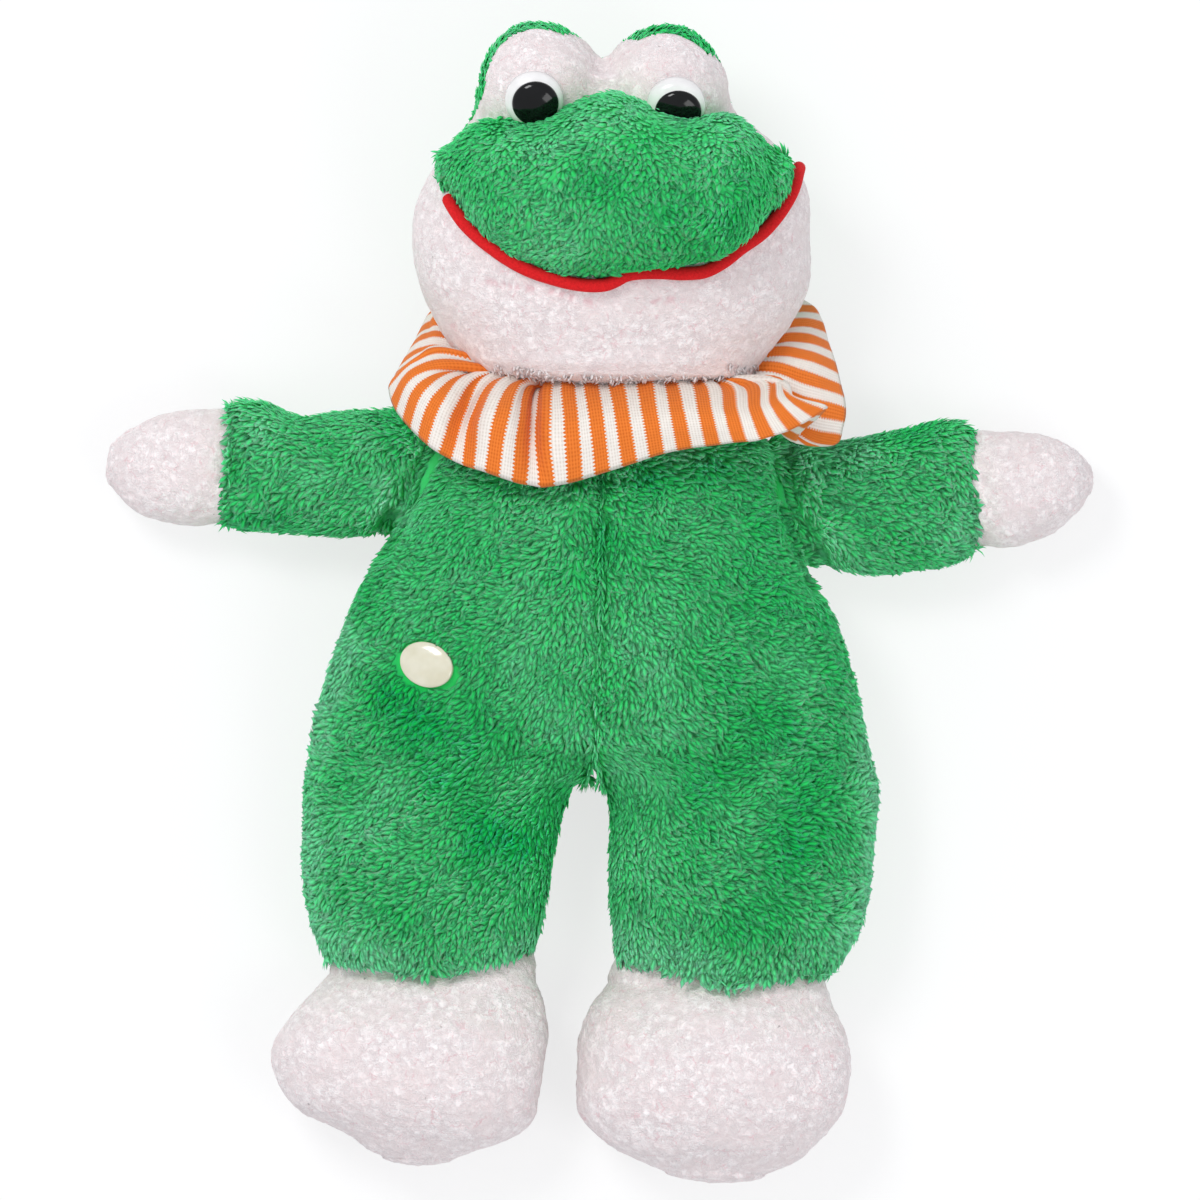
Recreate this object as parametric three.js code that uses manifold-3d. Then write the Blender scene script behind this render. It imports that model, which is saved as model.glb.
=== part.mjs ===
// A plush frog lying on its back: +Z is its front, +Y points to the top of its head, millimetres.
import * as THREE from "three";
import { mergeVertices } from "three/addons/utils/BufferGeometryUtils.js";
import Module from "manifold-3d";

const wasm = await Module();
wasm.setup();

// Outlines are pixel coordinates of the photograph. The toy's height over its rows is the size of one.
const toyHeight = 403;
const toyRows = 1168;
const pixelSize = toyHeight / toyRows;
const photoCentre = 600;

// Cloth, gaps and the flat that the toy rests on.
const coverWall = 2.4;
const seamGap = 0.35;
const seatGap = 0.4;
const flatCut = 0.5;
const overrun = 60;

// Depths, from the floor to the front.
const headDepth = 92;
const snoutRise = 28;
const snoutBack = 44;
const torsoDepth = 76;
const armDepth = 44;
const handDepth = 36;
const legDepth = 58;
const footDepth = 54;

// Panels of the head. The jaw's seam falls from the mouth's corner to the chin by the slope.
const jawSeamHeight = 42;
const jawSeamSlope = 0.18;
const rimHeight = 74;
const bumpHeight = 58;
const bumpHalfDepth = 32;
const pipingRadius = 2.3;
const pipingLift = 0.6;

// Neck.
const neckBallRadius = 19;
const neckHeight = 34;
const neckStemRadius = 13;
const neckStemLength = 24;
const openingShare = 0.72;

// Eyes and badge.
const eyeRadius = 10;
const eyeRimHeight = 1.6;
const eyeDomeHeight = 4.2;
const eyeTilt = THREE.MathUtils.degToRad(20);
const eyeSeatDepth = 0.9;
const pupilRadius = 8;
const pupilHeight = 2.6;
const pupilInset = 1;
const shankRadius = 2.4;
const shankLength = 11;
const washerRadius = 7.5;
const washerThickness = 2.2;
const badgeHalfLong = 9.7;
const badgeHalfShort = 7.6;
const badgeEdge = 1.2;
const badgeDome = 1.6;
const badgeTurn = THREE.MathUtils.degToRad(-20);
const badgeShankRadius = 1.4;
const badgeWasherRadius = 4.5;

// Ruff.
const ruffThickness = 2.6;
const ruffPleats = 16;
const ruffPleatDepth = 1.3;
const ruffSeatGap = 0.5;

// How far each limb swings, in degrees: towards the front and towards the back.
// The end room is left free beyond a wrist's or ankle's swing, the armhole room beside a sleeve.
const shoulderSwing = [60, 25];
const wristSwing = [25, 25];
const hipSwing = [60, 20];
const ankleSwing = [28, 25];
const endRoom = 14;
const armholeRoom = 3.5;

// Facets.
const outerSides = { head: 18, torso: 18, snout: 14, bump: 12, limb: 12 };
const innerSides = { body: 12, bump: 8, limb: 8 };
const rootSides = 16;
const turnedSides = 18;
const roomSides = 10;
const cordSides = 8;

// Outlines in pixels: each row is a rib, from one edge of the form to the other.
// The shares after them are each rib's back and front as shares of the form's depth.
const headOutline = [
  [470, 88, 734, 88],
  [448, 130, 776, 130],
  [416, 186, 811, 186],
  [409, 240, 813, 240],
  [418, 290, 810, 290],
  [438, 328, 796, 328],
  [468, 358, 770, 358],
];
const headTips = [[602, 62], [606, 380]];
const headDepthShares = [
  [0.22, 0.86],
  [0.06, 0.92],
  [0, 0.99],
  [0, 1],
  [0, 0.97],
  [0, 0.87],
  [0.04, 0.74],
];
const bumpOutlines = [
  { centre: [538, 92], across: 70, along: 76 },
  { centre: [668, 96], across: 68, along: 76 },
];
const eyeCentres = [[535, 99], [676, 106]];
const snoutOutline = [
  [448, 142, 448, 198],
  [480, 119, 480, 238],
  [540, 112, 540, 273],
  [608, 94, 608, 285],
  [680, 112, 680, 272],
  [740, 117, 740, 250],
  [782, 140, 782, 210],
];
const snoutTips = [[431, 176], [802, 170]];
const snoutFrontShares = [0.46, 0.75, 0.94, 1, 1, 0.88, 0.56];
const pipingPath = [
  [449, 192], [456, 210], [466, 225], [481, 240], [502, 257], [530, 271],
  [562, 281], [594, 287], [626, 281], [672, 273], [718, 265], [743, 248],
  [770, 225], [788, 200], [796, 175],
];
const jawCorner = 155;
const torsoOutline = [
  [476, 415, 736, 415],
  [440, 440, 774, 440],
  [408, 494, 795, 494],
  [370, 558, 816, 558],
  [341, 620, 845, 620],
  [314, 700, 866, 700],
  [303, 766, 878, 766],
  [303, 800, 880, 800],
];
const torsoTip = [606, 399];
const torsoDepthShares = [
  [0.14, 0.62],
  [0.03, 0.77],
  [0, 0.92],
  [0, 0.98],
  [0, 1],
  [0, 0.97],
  [0, 0.88],
  [0, 0.84],
];
const centreSeam = [[604, 300], [600, 640], [588, 900]];
const armOutlines = [
  [
    [440, 410, 384, 536],
    [392, 405, 366, 539],
    [350, 407, 338, 540],
    [304, 412, 298, 538],
    [262, 402, 256, 533],
    [233, 404, 231, 521],
  ],
  [
    [776, 432, 819, 568],
    [816, 438, 842, 573],
    [860, 434, 872, 577],
    [906, 425, 912, 577],
    [944, 420, 948, 566],
    [969, 428, 978, 547],
  ],
];
const armBackShares = [0.1, 0.05, 0, 0, 0, 0];
const armFrontShares = [1.1, 1.05, 1, 0.98, 0.96, 0.84];
const handOutlines = [
  [
    [232, 406, 231, 521],
    [206, 412, 208, 522],
    [176, 416, 180, 520],
    [148, 418, 150, 514],
    [126, 428, 127, 499],
  ],
  [
    [970, 429, 978, 546],
    [1000, 431, 1004, 545],
    [1032, 433, 1034, 538],
    [1060, 440, 1062, 526],
    [1080, 452, 1081, 510],
  ],
];
const handTips = [[103, 459], [1096, 483]];
const handFrontShares = [1, 1, 1, 0.92, 0.78];
const legOutlines = [
  [
    [302, 768, 586, 768],
    [301, 810, 574, 810],
    [299, 850, 561, 850],
    [302, 900, 552, 900],
    [312, 948, 540, 948],
    [321, 986, 538, 986],
  ],
  [
    [590, 768, 880, 768],
    [599, 810, 880, 810],
    [603, 850, 877, 850],
    [605, 900, 871, 900],
    [608, 952, 852, 952],
    [610, 996, 828, 1000],
  ],
];
const legFrontShares = [1, 1, 1, 0.96, 0.88, 0.78];
const footOutlines = [
  [
    [322, 988, 538, 988],
    [296, 1010, 544, 1010],
    [273, 1040, 548, 1040],
    [275, 1072, 544, 1072],
    [296, 1104, 538, 1104],
    [336, 1132, 520, 1132],
    [372, 1152, 478, 1152],
  ],
  [
    [600, 998, 827, 1002],
    [586, 1022, 840, 1022],
    [578, 1048, 850, 1050],
    [577, 1078, 848, 1080],
    [580, 1112, 843, 1112],
    [604, 1142, 812, 1142],
    [650, 1166, 768, 1166],
  ],
];
const footTips = [[417, 1167], [714, 1184]];
const footBackShares = [0.02, 0, 0, 0, 0, 0, 0.06];
const footFrontShares = [0.78, 0.82, 1, 1, 0.94, 0.8, 0.62];
const badgeCentre = [428, 664.5];

// The ruff's stations run round the neck from the right: mid fold, edge, and both heights as shares.
const ruffHeight = 80;
const ruffStations = [
  { angle: 0, mid: [792, 404], midShare: 0.56, edge: [846, 402], edgeShare: 0.62 },
  { angle: 25, mid: [776, 420], midShare: 0.78, edge: [840, 442], edgeShare: 0.74 },
  { angle: 50, mid: [724, 414], midShare: 0.94, edge: [762, 452], edgeShare: 0.96 },
  { angle: 75, mid: [644, 416], midShare: 0.99, edge: [664, 464], edgeShare: 1.03 },
  { angle: 100, mid: [582, 418], midShare: 1, edge: [560, 490], edgeShare: 1.06 },
  { angle: 125, mid: [520, 414], midShare: 0.94, edge: [474, 478], edgeShare: 0.98 },
  { angle: 150, mid: [456, 410], midShare: 0.76, edge: [408, 440], edgeShare: 0.8 },
  { angle: 180, mid: [430, 398], midShare: 0.56, edge: [386, 400], edgeShare: 0.6 },
  { angle: 205, mid: [436, 386], midShare: 0.4, edge: [404, 362], edgeShare: 0.42 },
  { angle: 230, mid: [470, 392], midShare: 0.15, edge: [444, 372], edgeShare: 0.14 },
  { angle: 270, mid: [606, 396], midShare: 0.07, edge: [606, 378], edgeShare: 0.045 },
  { angle: 310, mid: [744, 392], midShare: 0.15, edge: [776, 372], edgeShare: 0.14 },
  { angle: 335, mid: [786, 386], midShare: 0.4, edge: [834, 358], edgeShare: 0.42 },
];
const ruffRingRow = 389;
const neckColumn = 606;
const neckRow = 386;

const colours = {
  green: 0x3ea765,
  pale: 0xe7dada,
  red: 0xdc1e23,
  orange: 0xf07a28,
  filling: 0xf4f1ea,
  white: 0xdfdddc,
  black: 0x141414,
  cream: 0xe9e6d1,
  clear: 0xd8d8d2,
};

const root = new THREE.Group();

// A pixel of the photograph as a place in the part's frame.
function place([column, row]) {
  return [(column - photoCentre) * pixelSize, (photoCentre - row) * pixelSize];
}

// Turns a closed geometry into a manifold solid.
function solidFrom(geometry) {
  const bare = geometry.clone();
  bare.deleteAttribute("normal");
  bare.deleteAttribute("uv");
  const merged = mergeVertices(bare, seamGap / overrun / overrun);
  return new wasm.Manifold(
    new wasm.Mesh({
      numProp: 3,
      vertProperties: merged.attributes.position.array,
      triVerts: new Uint32Array(merged.index.array),
    }),
  );
}

// Adds a solid to the part as a named mesh.
function addPiece(name, solid, colour, roughness) {
  const mesh = solid.getMesh();
  const geometry = new THREE.BufferGeometry();
  geometry.setAttribute("position", new THREE.BufferAttribute(mesh.vertProperties, 3));
  geometry.setIndex(new THREE.BufferAttribute(mesh.triVerts, 1));
  geometry.computeVertexNormals();
  const material = new THREE.MeshStandardMaterial({ color: colour, roughness });
  const piece = new THREE.Mesh(geometry, material);
  piece.name = name;
  root.add(piece);
}

// A value between four neighbours, so that a row of values makes a smooth curve.
function smooth(before, from, to, after, t) {
  const slopeFrom = (to - before) / 2;
  const slopeTo = (after - from) / 2;
  const t2 = t * t;
  const t3 = t2 * t;
  return (
    (2 * t3 - 3 * t2 + 1) * from + (t3 - 2 * t2 + t) * slopeFrom +
    (3 * t2 - 2 * t3) * to + (t3 - t2) * slopeTo
  );
}

// Ribs in millimetres from an outline in pixels and the backs and fronts of its ribs.
function ribsFrom(outline, backs, fronts) {
  return outline.map(([ax, ay, bx, by], i) => {
    const a = place([ax, ay]);
    const b = place([bx, by]);
    return [a[0], a[1], b[0], b[1], backs[i], fronts[i]];
  });
}

// One rib moved inwards all round.
function insetRib([ax, ay, bx, by, back, front], inset) {
  const across = Math.hypot(bx - ax, by - ay);
  const moved = Math.min(inset, across / 3);
  const ux = (bx - ax) / across;
  const uy = (by - ay) / across;
  const sunk = Math.min(inset, (front - back) / 3);
  return [ax + ux * moved, ay + uy * moved, bx - ux * moved, by - uy * moved, back + sunk, front - sunk];
}

// The rows of ribs of a form: its own ribs, and domed ends towards its tips.
function rowsOf(ribs, { startTip, endTip, inset = 0 }) {
  const domeRows = inset > 0 ? 2 : 3;
  const rows = ribs.map((rib) => insetRib(rib, inset));
  const dome = (rib, tip) => {
    const [ax, ay, bx, by, back, front] = rib;
    const cx = (ax + bx) / 2;
    const cy = (ay + by) / 2;
    const reach = Math.hypot(tip[0] - cx, tip[1] - cy);
    const kept = Math.max(1 - inset / reach, 1 / 3);
    const made = [];
    for (let k = 1; k < domeRows; k++) {
      const turn = (k / domeRows) * (Math.PI / 2);
      const shrink = Math.cos(turn);
      const mx = cx + (tip[0] - cx) * kept * Math.sin(turn);
      const my = cy + (tip[1] - cy) * kept * Math.sin(turn);
      const mid = (back + front) / 2;
      const half = ((front - back) / 2) * shrink;
      made.push([mx + (ax - cx) * shrink, my + (ay - cy) * shrink,
        mx + (bx - cx) * shrink, my + (by - cy) * shrink, mid - half, mid + half]);
    }
    return { made, point: [cx + (tip[0] - cx) * kept, cy + (tip[1] - cy) * kept, (back + front) / 2] };
  };
  const middle = ([ax, ay, bx, by, back, front]) => [(ax + bx) / 2, (ay + by) / 2, (back + front) / 2];
  let startPoint = middle(rows[0]);
  let endPoint = middle(rows[rows.length - 1]);
  if (startTip) {
    const start = dome(rows[0], startTip);
    rows.unshift(...start.made.reverse());
    startPoint = start.point;
  }
  if (endTip) {
    const end = dome(rows[rows.length - 1], endTip);
    rows.push(...end.made);
    endPoint = end.point;
  }
  return { rows, startPoint, endPoint };
}

// A closed form through its ribs, each an oval from edge to edge and from back to front.
function loft(ribs, options) {
  const { sides } = options;
  const { rows, startPoint, endPoint } = rowsOf(ribs, options);
  const points = [...startPoint];
  rows.forEach(([ax, ay, bx, by, back, front]) => {
    for (let k = 0; k < sides; k++) {
      const turn = (k / sides) * 2 * Math.PI;
      const across = (1 - Math.cos(turn)) / 2;
      const height = (back + front) / 2 + (Math.sin(turn) * (front - back)) / 2;
      points.push(ax + (bx - ax) * across, ay + (by - ay) * across, height);
    }
  });
  points.push(...endPoint);
  const last = rows.length * sides + 1;
  const faces = [];
  for (let k = 0; k < sides; k++) {
    const next = (k + 1) % sides;
    faces.push(0, 1 + next, 1 + k);
    faces.push(last, last - sides + k, last - sides + next);
    for (let row = 0; row < rows.length - 1; row++) {
      const here = 1 + row * sides;
      const there = here + sides;
      faces.push(here + k, here + next, there + next, here + k, there + next, there + k);
    }
  }
  const geometry = new THREE.BufferGeometry();
  geometry.setAttribute("position", new THREE.Float32BufferAttribute(points, 3));
  geometry.setIndex(faces);
  const solid = solidFrom(geometry);
  if (solid.volume() > 0) return solid;
  for (let i = 0; i < faces.length; i += 3) [faces[i + 1], faces[i + 2]] = [faces[i + 2], faces[i + 1]];
  geometry.setIndex(faces);
  return solidFrom(geometry);
}

// A box between two corners.
function box(low, high) {
  const size = low.map((value, i) => high[i] - value);
  const geometry = new THREE.BoxGeometry(...size);
  geometry.translate(...low.map((value, i) => value + size[i] / 2));
  return solidFrom(geometry);
}

// Takes away all that lies under a height, so that the form has a flat to rest on.
function restAt(solid, height) {
  const reach = photoCentre * pixelSize + overrun;
  return solid.subtract(box([-reach, -reach, height - overrun], [reach, reach, height]));
}

// A turned piece on +Z through radius and height pairs.
function turned(profile, sides = turnedSides) {
  const geometry = new THREE.LatheGeometry(profile.map(([r, h]) => new THREE.Vector2(r, h)), sides);
  geometry.rotateX(Math.PI / 2);
  return geometry;
}

// The hinge of a limb: its rib at the root gives the axis, its half length and its radius.
function hingeOf(rib, outward) {
  const [ax, ay, bx, by, back, front] = rib;
  const half = Math.hypot(bx - ax, by - ay) / 2;
  const along = [(bx - ax) / half / 2, (by - ay) / half / 2];
  let away = [-along[1], along[0]];
  if (away[0] * outward[0] + away[1] * outward[1] < 0) away = [-away[0], -away[1]];
  return {
    centre: [(ax + bx) / 2, (ay + by) / 2, (back + front) / 2],
    along, away, half,
    radius: (front - back) / 2,
  };
}

// The round hollow that a limb's root turns in, its facets clear of the root at every angle.
function hollowOf(hinge, growth) {
  const clear = 1 / Math.cos(Math.PI / rootSides) ** 2;
  const geometry = new THREE.SphereGeometry(clear, rootSides, rootSides / 2);
  geometry.scale(hinge.radius + growth, hinge.half + growth, hinge.radius + growth);
  geometry.applyMatrix4(frameOf(hinge));
  return solidFrom(geometry);
}

// The frame of a hinge: X away from the body, Y along the axis, Z to the front.
function frameOf(hinge) {
  const x = new THREE.Vector3(hinge.away[0], hinge.away[1], 0);
  const z = new THREE.Vector3(0, 0, 1);
  const y = new THREE.Vector3().crossVectors(z, x);
  return new THREE.Matrix4().makeBasis(x, y, z).setPosition(...hinge.centre);
}

// What a body leaves free round a limb: the root's seat, and the room the limb swings into.
function seatOf(hinge, swing, growth, reach) {
  const radius = hinge.radius + seatGap + growth;
  const [front, back] = swing.map((degrees) => THREE.MathUtils.degToRad(degrees));
  const far = overrun + radius;
  const frontTouch = [-Math.sin(front) * radius, Math.cos(front) * radius];
  const backTouch = [-Math.sin(back) * radius, -Math.cos(back) * radius];
  const outline = [
    [-seatGap - growth, 0],
    backTouch,
    [backTouch[0] + Math.cos(back) * far, backTouch[1] - Math.sin(back) * far],
    [far + far, -far],
    [far + far, far],
    [frontTouch[0] + Math.cos(front) * far, frontTouch[1] + Math.sin(front) * far],
    frontTouch,
  ].map(([s, t]) => new THREE.Vector2(s, t));
  const length = 2 * (reach + growth);
  const geometry = new THREE.ExtrudeGeometry(new THREE.Shape(outline), {
    depth: length, bevelEnabled: false, steps: 1,
  });
  geometry.translate(0, 0, -length / 2);
  geometry.rotateX(Math.PI / 2);
  geometry.applyMatrix4(frameOf(hinge));
  return hollowOf(hinge, seatGap + growth).add(solidFrom(geometry));
}

// A short bore through a limb's root, where its filling goes in.
function fillingHole(hinge) {
  const radius = Math.min(hinge.half, hinge.radius) / 3;
  const depth = hinge.radius + coverWall;
  const geometry = new THREE.CylinderGeometry(radius, radius, depth, innerSides.limb);
  geometry.rotateZ(Math.PI / 2);
  geometry.translate(-depth / 2, 0, 0);
  geometry.applyMatrix4(frameOf(hinge));
  return solidFrom(geometry);
}

// A limb form with its root, and its own seat for the limb that hangs on it.
function limbSolid({ ribs, endTip, hinge, next }, inset) {
  const sides = inset > 0 ? innerSides.limb : outerSides.limb;
  const startTip = [0, 1].map((i) => hinge.centre[i] - hinge.away[i] * hinge.radius);
  let solid = loft(ribs, { startTip, endTip, inset, sides });
  if (next) {
    const swing = next.swing.map((degrees) => degrees + endRoom);
    solid = solid.subtract(seatOf(next.hinge, swing, inset, next.hinge.half + seatGap + coverWall));
  }
  return restAt(solid, Math.max(inset, 0));
}

// The cover and the filling of a limb.
function addLimb(name, fillingName, limb, colour) {
  const outside = limbSolid(limb, 0);
  const inside = limbSolid(limb, coverWall);
  addPiece(name, outside.subtract(inside).subtract(fillingHole(limb.hinge)), colour, 0.95);
  addPiece(fillingName, limbSolid(limb, coverWall + seamGap), colours.filling, 1);
}

const backOf = (share, depth) => share * depth - (share > 0 ? 0 : flatCut);
const sideNames = ["left", "right"];

// Arms and hands, legs and feet: left and right are those of the photograph.
const limbs = sideNames.map((side, i) => {
  const arm = ribsFrom(armOutlines[i],
    armBackShares.map((share) => backOf(share, armDepth)),
    armFrontShares.map((share) => share * armDepth));
  const hand = ribsFrom(handOutlines[i],
    handFrontShares.map(() => -flatCut),
    handFrontShares.map((share) => share * handDepth));
  const leg = ribsFrom(legOutlines[i],
    legFrontShares.map(() => -flatCut),
    legFrontShares.map((share) => share * legDepth));
  const foot = ribsFrom(footOutlines[i],
    footBackShares.map((share) => backOf(share, footDepth)),
    footFrontShares.map((share) => share * footDepth));
  const outward = [i === 0 ? -1 : 1, 0];
  const down = [0, -1];
  const wrist = hingeOf(hand[0], outward);
  const ankle = hingeOf(foot[0], down);
  return {
    side,
    arm: { ribs: arm, hinge: hingeOf(arm[0], outward), next: { hinge: wrist, swing: wristSwing } },
    hand: { ribs: hand, endTip: place(handTips[i]), hinge: wrist },
    leg: { ribs: leg, hinge: hingeOf(leg[0], down), next: { hinge: ankle, swing: ankleSwing } },
    foot: { ribs: foot, endTip: place(footTips[i]), hinge: ankle },
  };
});

// The neck's ball and stem, turned about +Y, and the hollow that it turns in.
const neckCentre = [...place([neckColumn, neckRow]), neckHeight];
function neckSolid(growth) {
  const clear = growth > 0 ? 1 / Math.cos(Math.PI / rootSides) ** 2 : 1;
  const ball = (neckBallRadius + growth) * clear;
  const stem = (neckStemRadius + growth) * clear;
  const foot = -neckStemLength - neckBallRadius / 2 - growth;
  const profile = [[0, foot], [stem, foot]];
  const from = Math.acos(stem / ball);
  const arcRows = rootSides / 2;
  for (let k = 0; k <= arcRows; k++) {
    const turn = -from + ((from + Math.PI / 2) * k) / arcRows;
    profile.push([k === arcRows ? 0 : ball * Math.cos(turn), ball * Math.sin(turn)]);
  }
  const geometry = new THREE.LatheGeometry(profile.map(([r, h]) => new THREE.Vector2(r, h)), rootSides);
  if (growth > 0) geometry.rotateY(Math.PI / rootSides);
  geometry.translate(...neckCentre);
  return solidFrom(geometry);
}

const torsoRibs = ribsFrom(torsoOutline,
  torsoDepthShares.map(([back]) => backOf(back, torsoDepth)),
  torsoDepthShares.map(([, front]) => front * torsoDepth));

// The body without its limbs, neck and flat.
function torsoSolid(inset) {
  const sides = inset > 0 ? innerSides.body : outerSides.torso;
  let solid = loft(torsoRibs, { startTip: place(torsoTip), inset, sides });
  limbs.forEach(({ arm, leg }) => {
    solid = solid.subtract(seatOf(arm.hinge, shoulderSwing, inset, arm.hinge.half + armholeRoom));
    solid = solid.subtract(seatOf(leg.hinge, hipSwing, inset, leg.hinge.half + coverWall));
  });
  return restAt(solid, inset);
}

// The opening of the body's cover that the neck comes out of.
function neckOpening() {
  const radius = neckBallRadius + coverWall;
  const geometry = new THREE.CylinderGeometry(radius, radius, overrun, turnedSides);
  const middle = neckCentre[1] - openingShare * neckBallRadius + overrun / 2;
  geometry.translate(neckCentre[0], middle, neckCentre[2]);
  return solidFrom(geometry);
}

// Everything on one side of the centre seam.
function seamSide(side, gap) {
  const line = centreSeam.map(place);
  const reach = photoCentre * pixelSize + overrun;
  const sign = side === "left" ? -1 : 1;
  const shape = new THREE.Shape([
    new THREE.Vector2(line[0][0] + sign * gap, reach),
    ...line.map(([x, y]) => new THREE.Vector2(x + sign * gap, y)),
    new THREE.Vector2(line[line.length - 1][0] + sign * gap, -reach),
    new THREE.Vector2(sign * reach, -reach),
    new THREE.Vector2(sign * reach, reach),
  ]);
  const geometry = new THREE.ExtrudeGeometry(shape, { depth: 2 * overrun, bevelEnabled: false, steps: 1 });
  geometry.translate(0, 0, -overrun / 2);
  return solidFrom(geometry);
}

// The front of a form of level ribs, at a place.
function frontAt(ribs, x, y) {
  let i = 0;
  while (i < ribs.length - 2 && y < ribs[i + 1][1]) i++;
  const t = (ribs[i][1] - y) / (ribs[i][1] - ribs[i + 1][1]);
  const [left, , right, , back, front] = ribs[i].map((value, j) => value + (ribs[i + 1][j] - value) * t);
  const share = (2 * x - left - right) / (right - left);
  return (back + front) / 2 + (Math.sqrt(Math.max(1 - share * share, 0)) * (front - back)) / 2;
}

// The way the front of a form faces at a place.
function facingAt(ribs, x, y) {
  const step = coverWall;
  const slopeX = (frontAt(ribs, x + step, y) - frontAt(ribs, x - step, y)) / (2 * step);
  const slopeY = (frontAt(ribs, x, y + step) - frontAt(ribs, x, y - step)) / (2 * step);
  return new THREE.Vector3(-slopeX, -slopeY, 1).normalize();
}

const headRibs = ribsFrom(headOutline,
  headDepthShares.map(([back]) => backOf(back, headDepth)),
  headDepthShares.map(([, front]) => front * headDepth));
const snoutRibs = ribsFrom(snoutOutline,
  snoutFrontShares.map(() => snoutBack),
  snoutFrontShares.map((share) => snoutBack + share * (headDepth + snoutRise - snoutBack)));

// The skull form: the head with its two eye bumps.
function skullSolid(inset) {
  const sides = inset > 0 ? innerSides.body : outerSides.head;
  let solid = loft(headRibs, { startTip: place(headTips[0]), endTip: place(headTips[1]), inset, sides });
  bumpOutlines.forEach(({ centre, across, along }) => {
    const bumpSides = inset > 0 ? innerSides.bump : outerSides.bump;
    const geometry = new THREE.SphereGeometry(1, bumpSides, bumpSides / 2);
    geometry.rotateX(Math.PI / 2);
    geometry.scale(across * pixelSize - inset, along * pixelSize - inset, bumpHalfDepth - inset);
    geometry.translate(...place(centre), bumpHeight);
    solid = solid.add(solidFrom(geometry));
  });
  return restAt(solid, inset);
}

// The muzzle form.
function snoutSolid(inset) {
  const sides = inset > 0 ? innerSides.limb : outerSides.snout;
  return loft(snoutRibs, { startTip: place(snoutTips[0]), endTip: place(snoutTips[1]), inset, sides });
}

// The mouth's round cord, lying where the muzzle meets the jaw.
function pipingSolid(growth) {
  const points = pipingPath.map((pixel) => {
    const [x, y] = place(pixel);
    return new THREE.Vector3(x, y, frontAt(headRibs, x, y) + pipingLift);
  });
  const curve = new THREE.CatmullRomCurve3(points);
  const round = new THREE.Shape();
  round.absarc(0, 0, pipingRadius + growth, 0, 2 * Math.PI);
  const geometry = new THREE.ExtrudeGeometry(round, {
    extrudePath: curve, steps: 2 * pipingPath.length, curveSegments: cordSides / 2, bevelEnabled: false,
  });
  return solidFrom(geometry);
}

// The frames of the eyes: their foot on the eye panel, +Z out of the face.
const eyeFrames = eyeCentres.map((centre, i) => {
  const bump = bumpOutlines[i];
  const [x, y] = place(centre);
  const [bx, by] = place(bump.centre);
  const share = Math.hypot((x - bx) / bump.across / pixelSize, (y - by) / bump.along / pixelSize);
  const height = bumpHeight + bumpHalfDepth * Math.sqrt(1 - share * share) - eyeSeatDepth;
  return new THREE.Matrix4().makeTranslation(x, y, height)
    .multiply(new THREE.Matrix4().makeRotationX(eyeTilt));
});

// The white of an eye: rim, dome with a recess for the pupil, and shank.
function eyeWhite(frame) {
  const recess = pupilRadius + seamGap;
  const shoulder = [0.25, 0.5, 0.75].map((share) => {
    const turn = share * Math.PI / 2;
    return [
      recess + (eyeRadius - recess) * Math.cos(turn),
      eyeRimHeight + (eyeDomeHeight - eyeRimHeight) * Math.sin(turn),
    ];
  });
  const profile = [[0, -shankLength], [shankRadius, -shankLength], [shankRadius, 0], [eyeRadius, 0],
    [eyeRadius, eyeRimHeight], ...shoulder, [recess, eyeDomeHeight], [recess, eyeDomeHeight - pupilInset],
    [0, eyeDomeHeight - pupilInset]];
  return solidFrom(turned(profile).applyMatrix4(frame));
}

// The room that the cloth and the filling leave for an eye and its washer.
function eyeRoom(frame) {
  const clear = 1 / Math.cos(Math.PI / roomSides);
  const wide = (eyeRadius + seamGap) * clear;
  const narrow = (shankRadius + seamGap) * clear;
  const washer = (washerRadius + seamGap) * clear;
  const washerTop = -coverWall;
  const washerFoot = washerTop - 2 * seamGap - washerThickness;
  const top = eyeRimHeight + eyeDomeHeight + pupilHeight + seamGap;
  const profile = [[0, -shankLength - seamGap], [narrow, -shankLength - seamGap], [narrow, washerFoot],
    [washer, washerFoot], [washer, washerTop], [narrow, washerTop], [narrow, -seamGap], [wide, -seamGap],
    [wide, eyeDomeHeight + seamGap], [pupilRadius * clear, top], [0, top]];
  return solidFrom(turned(profile, roomSides).applyMatrix4(frame));
}

// The pupil: a flat-backed dome in the white's recess.
function eyePupil(frame) {
  const foot = eyeDomeHeight - pupilInset + seamGap;
  const profile = [[0, foot], [pupilRadius, foot], [pupilRadius, foot + pupilInset]];
  for (const share of [0.3, 0.6, 0.85]) {
    const turn = share * Math.PI / 2;
    profile.push([pupilRadius * Math.cos(turn), foot + pupilInset + pupilHeight * Math.sin(turn)]);
  }
  profile.push([0, foot + pupilInset + pupilHeight]);
  return solidFrom(turned(profile).applyMatrix4(frame));
}

// A lock washer round a shank, behind the cloth.
function washerSolid(frame, bore, outer, growth) {
  const top = -coverWall - seamGap + growth;
  const low = top - washerThickness - 2 * growth;
  const profile = growth > 0
    ? [[0, low], [outer + growth, low], [outer + growth, top], [0, top]]
    : [[bore, low], [outer, low], [outer, top], [bore, top], [bore, low]];
  return solidFrom(turned(profile).applyMatrix4(frame));
}

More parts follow.
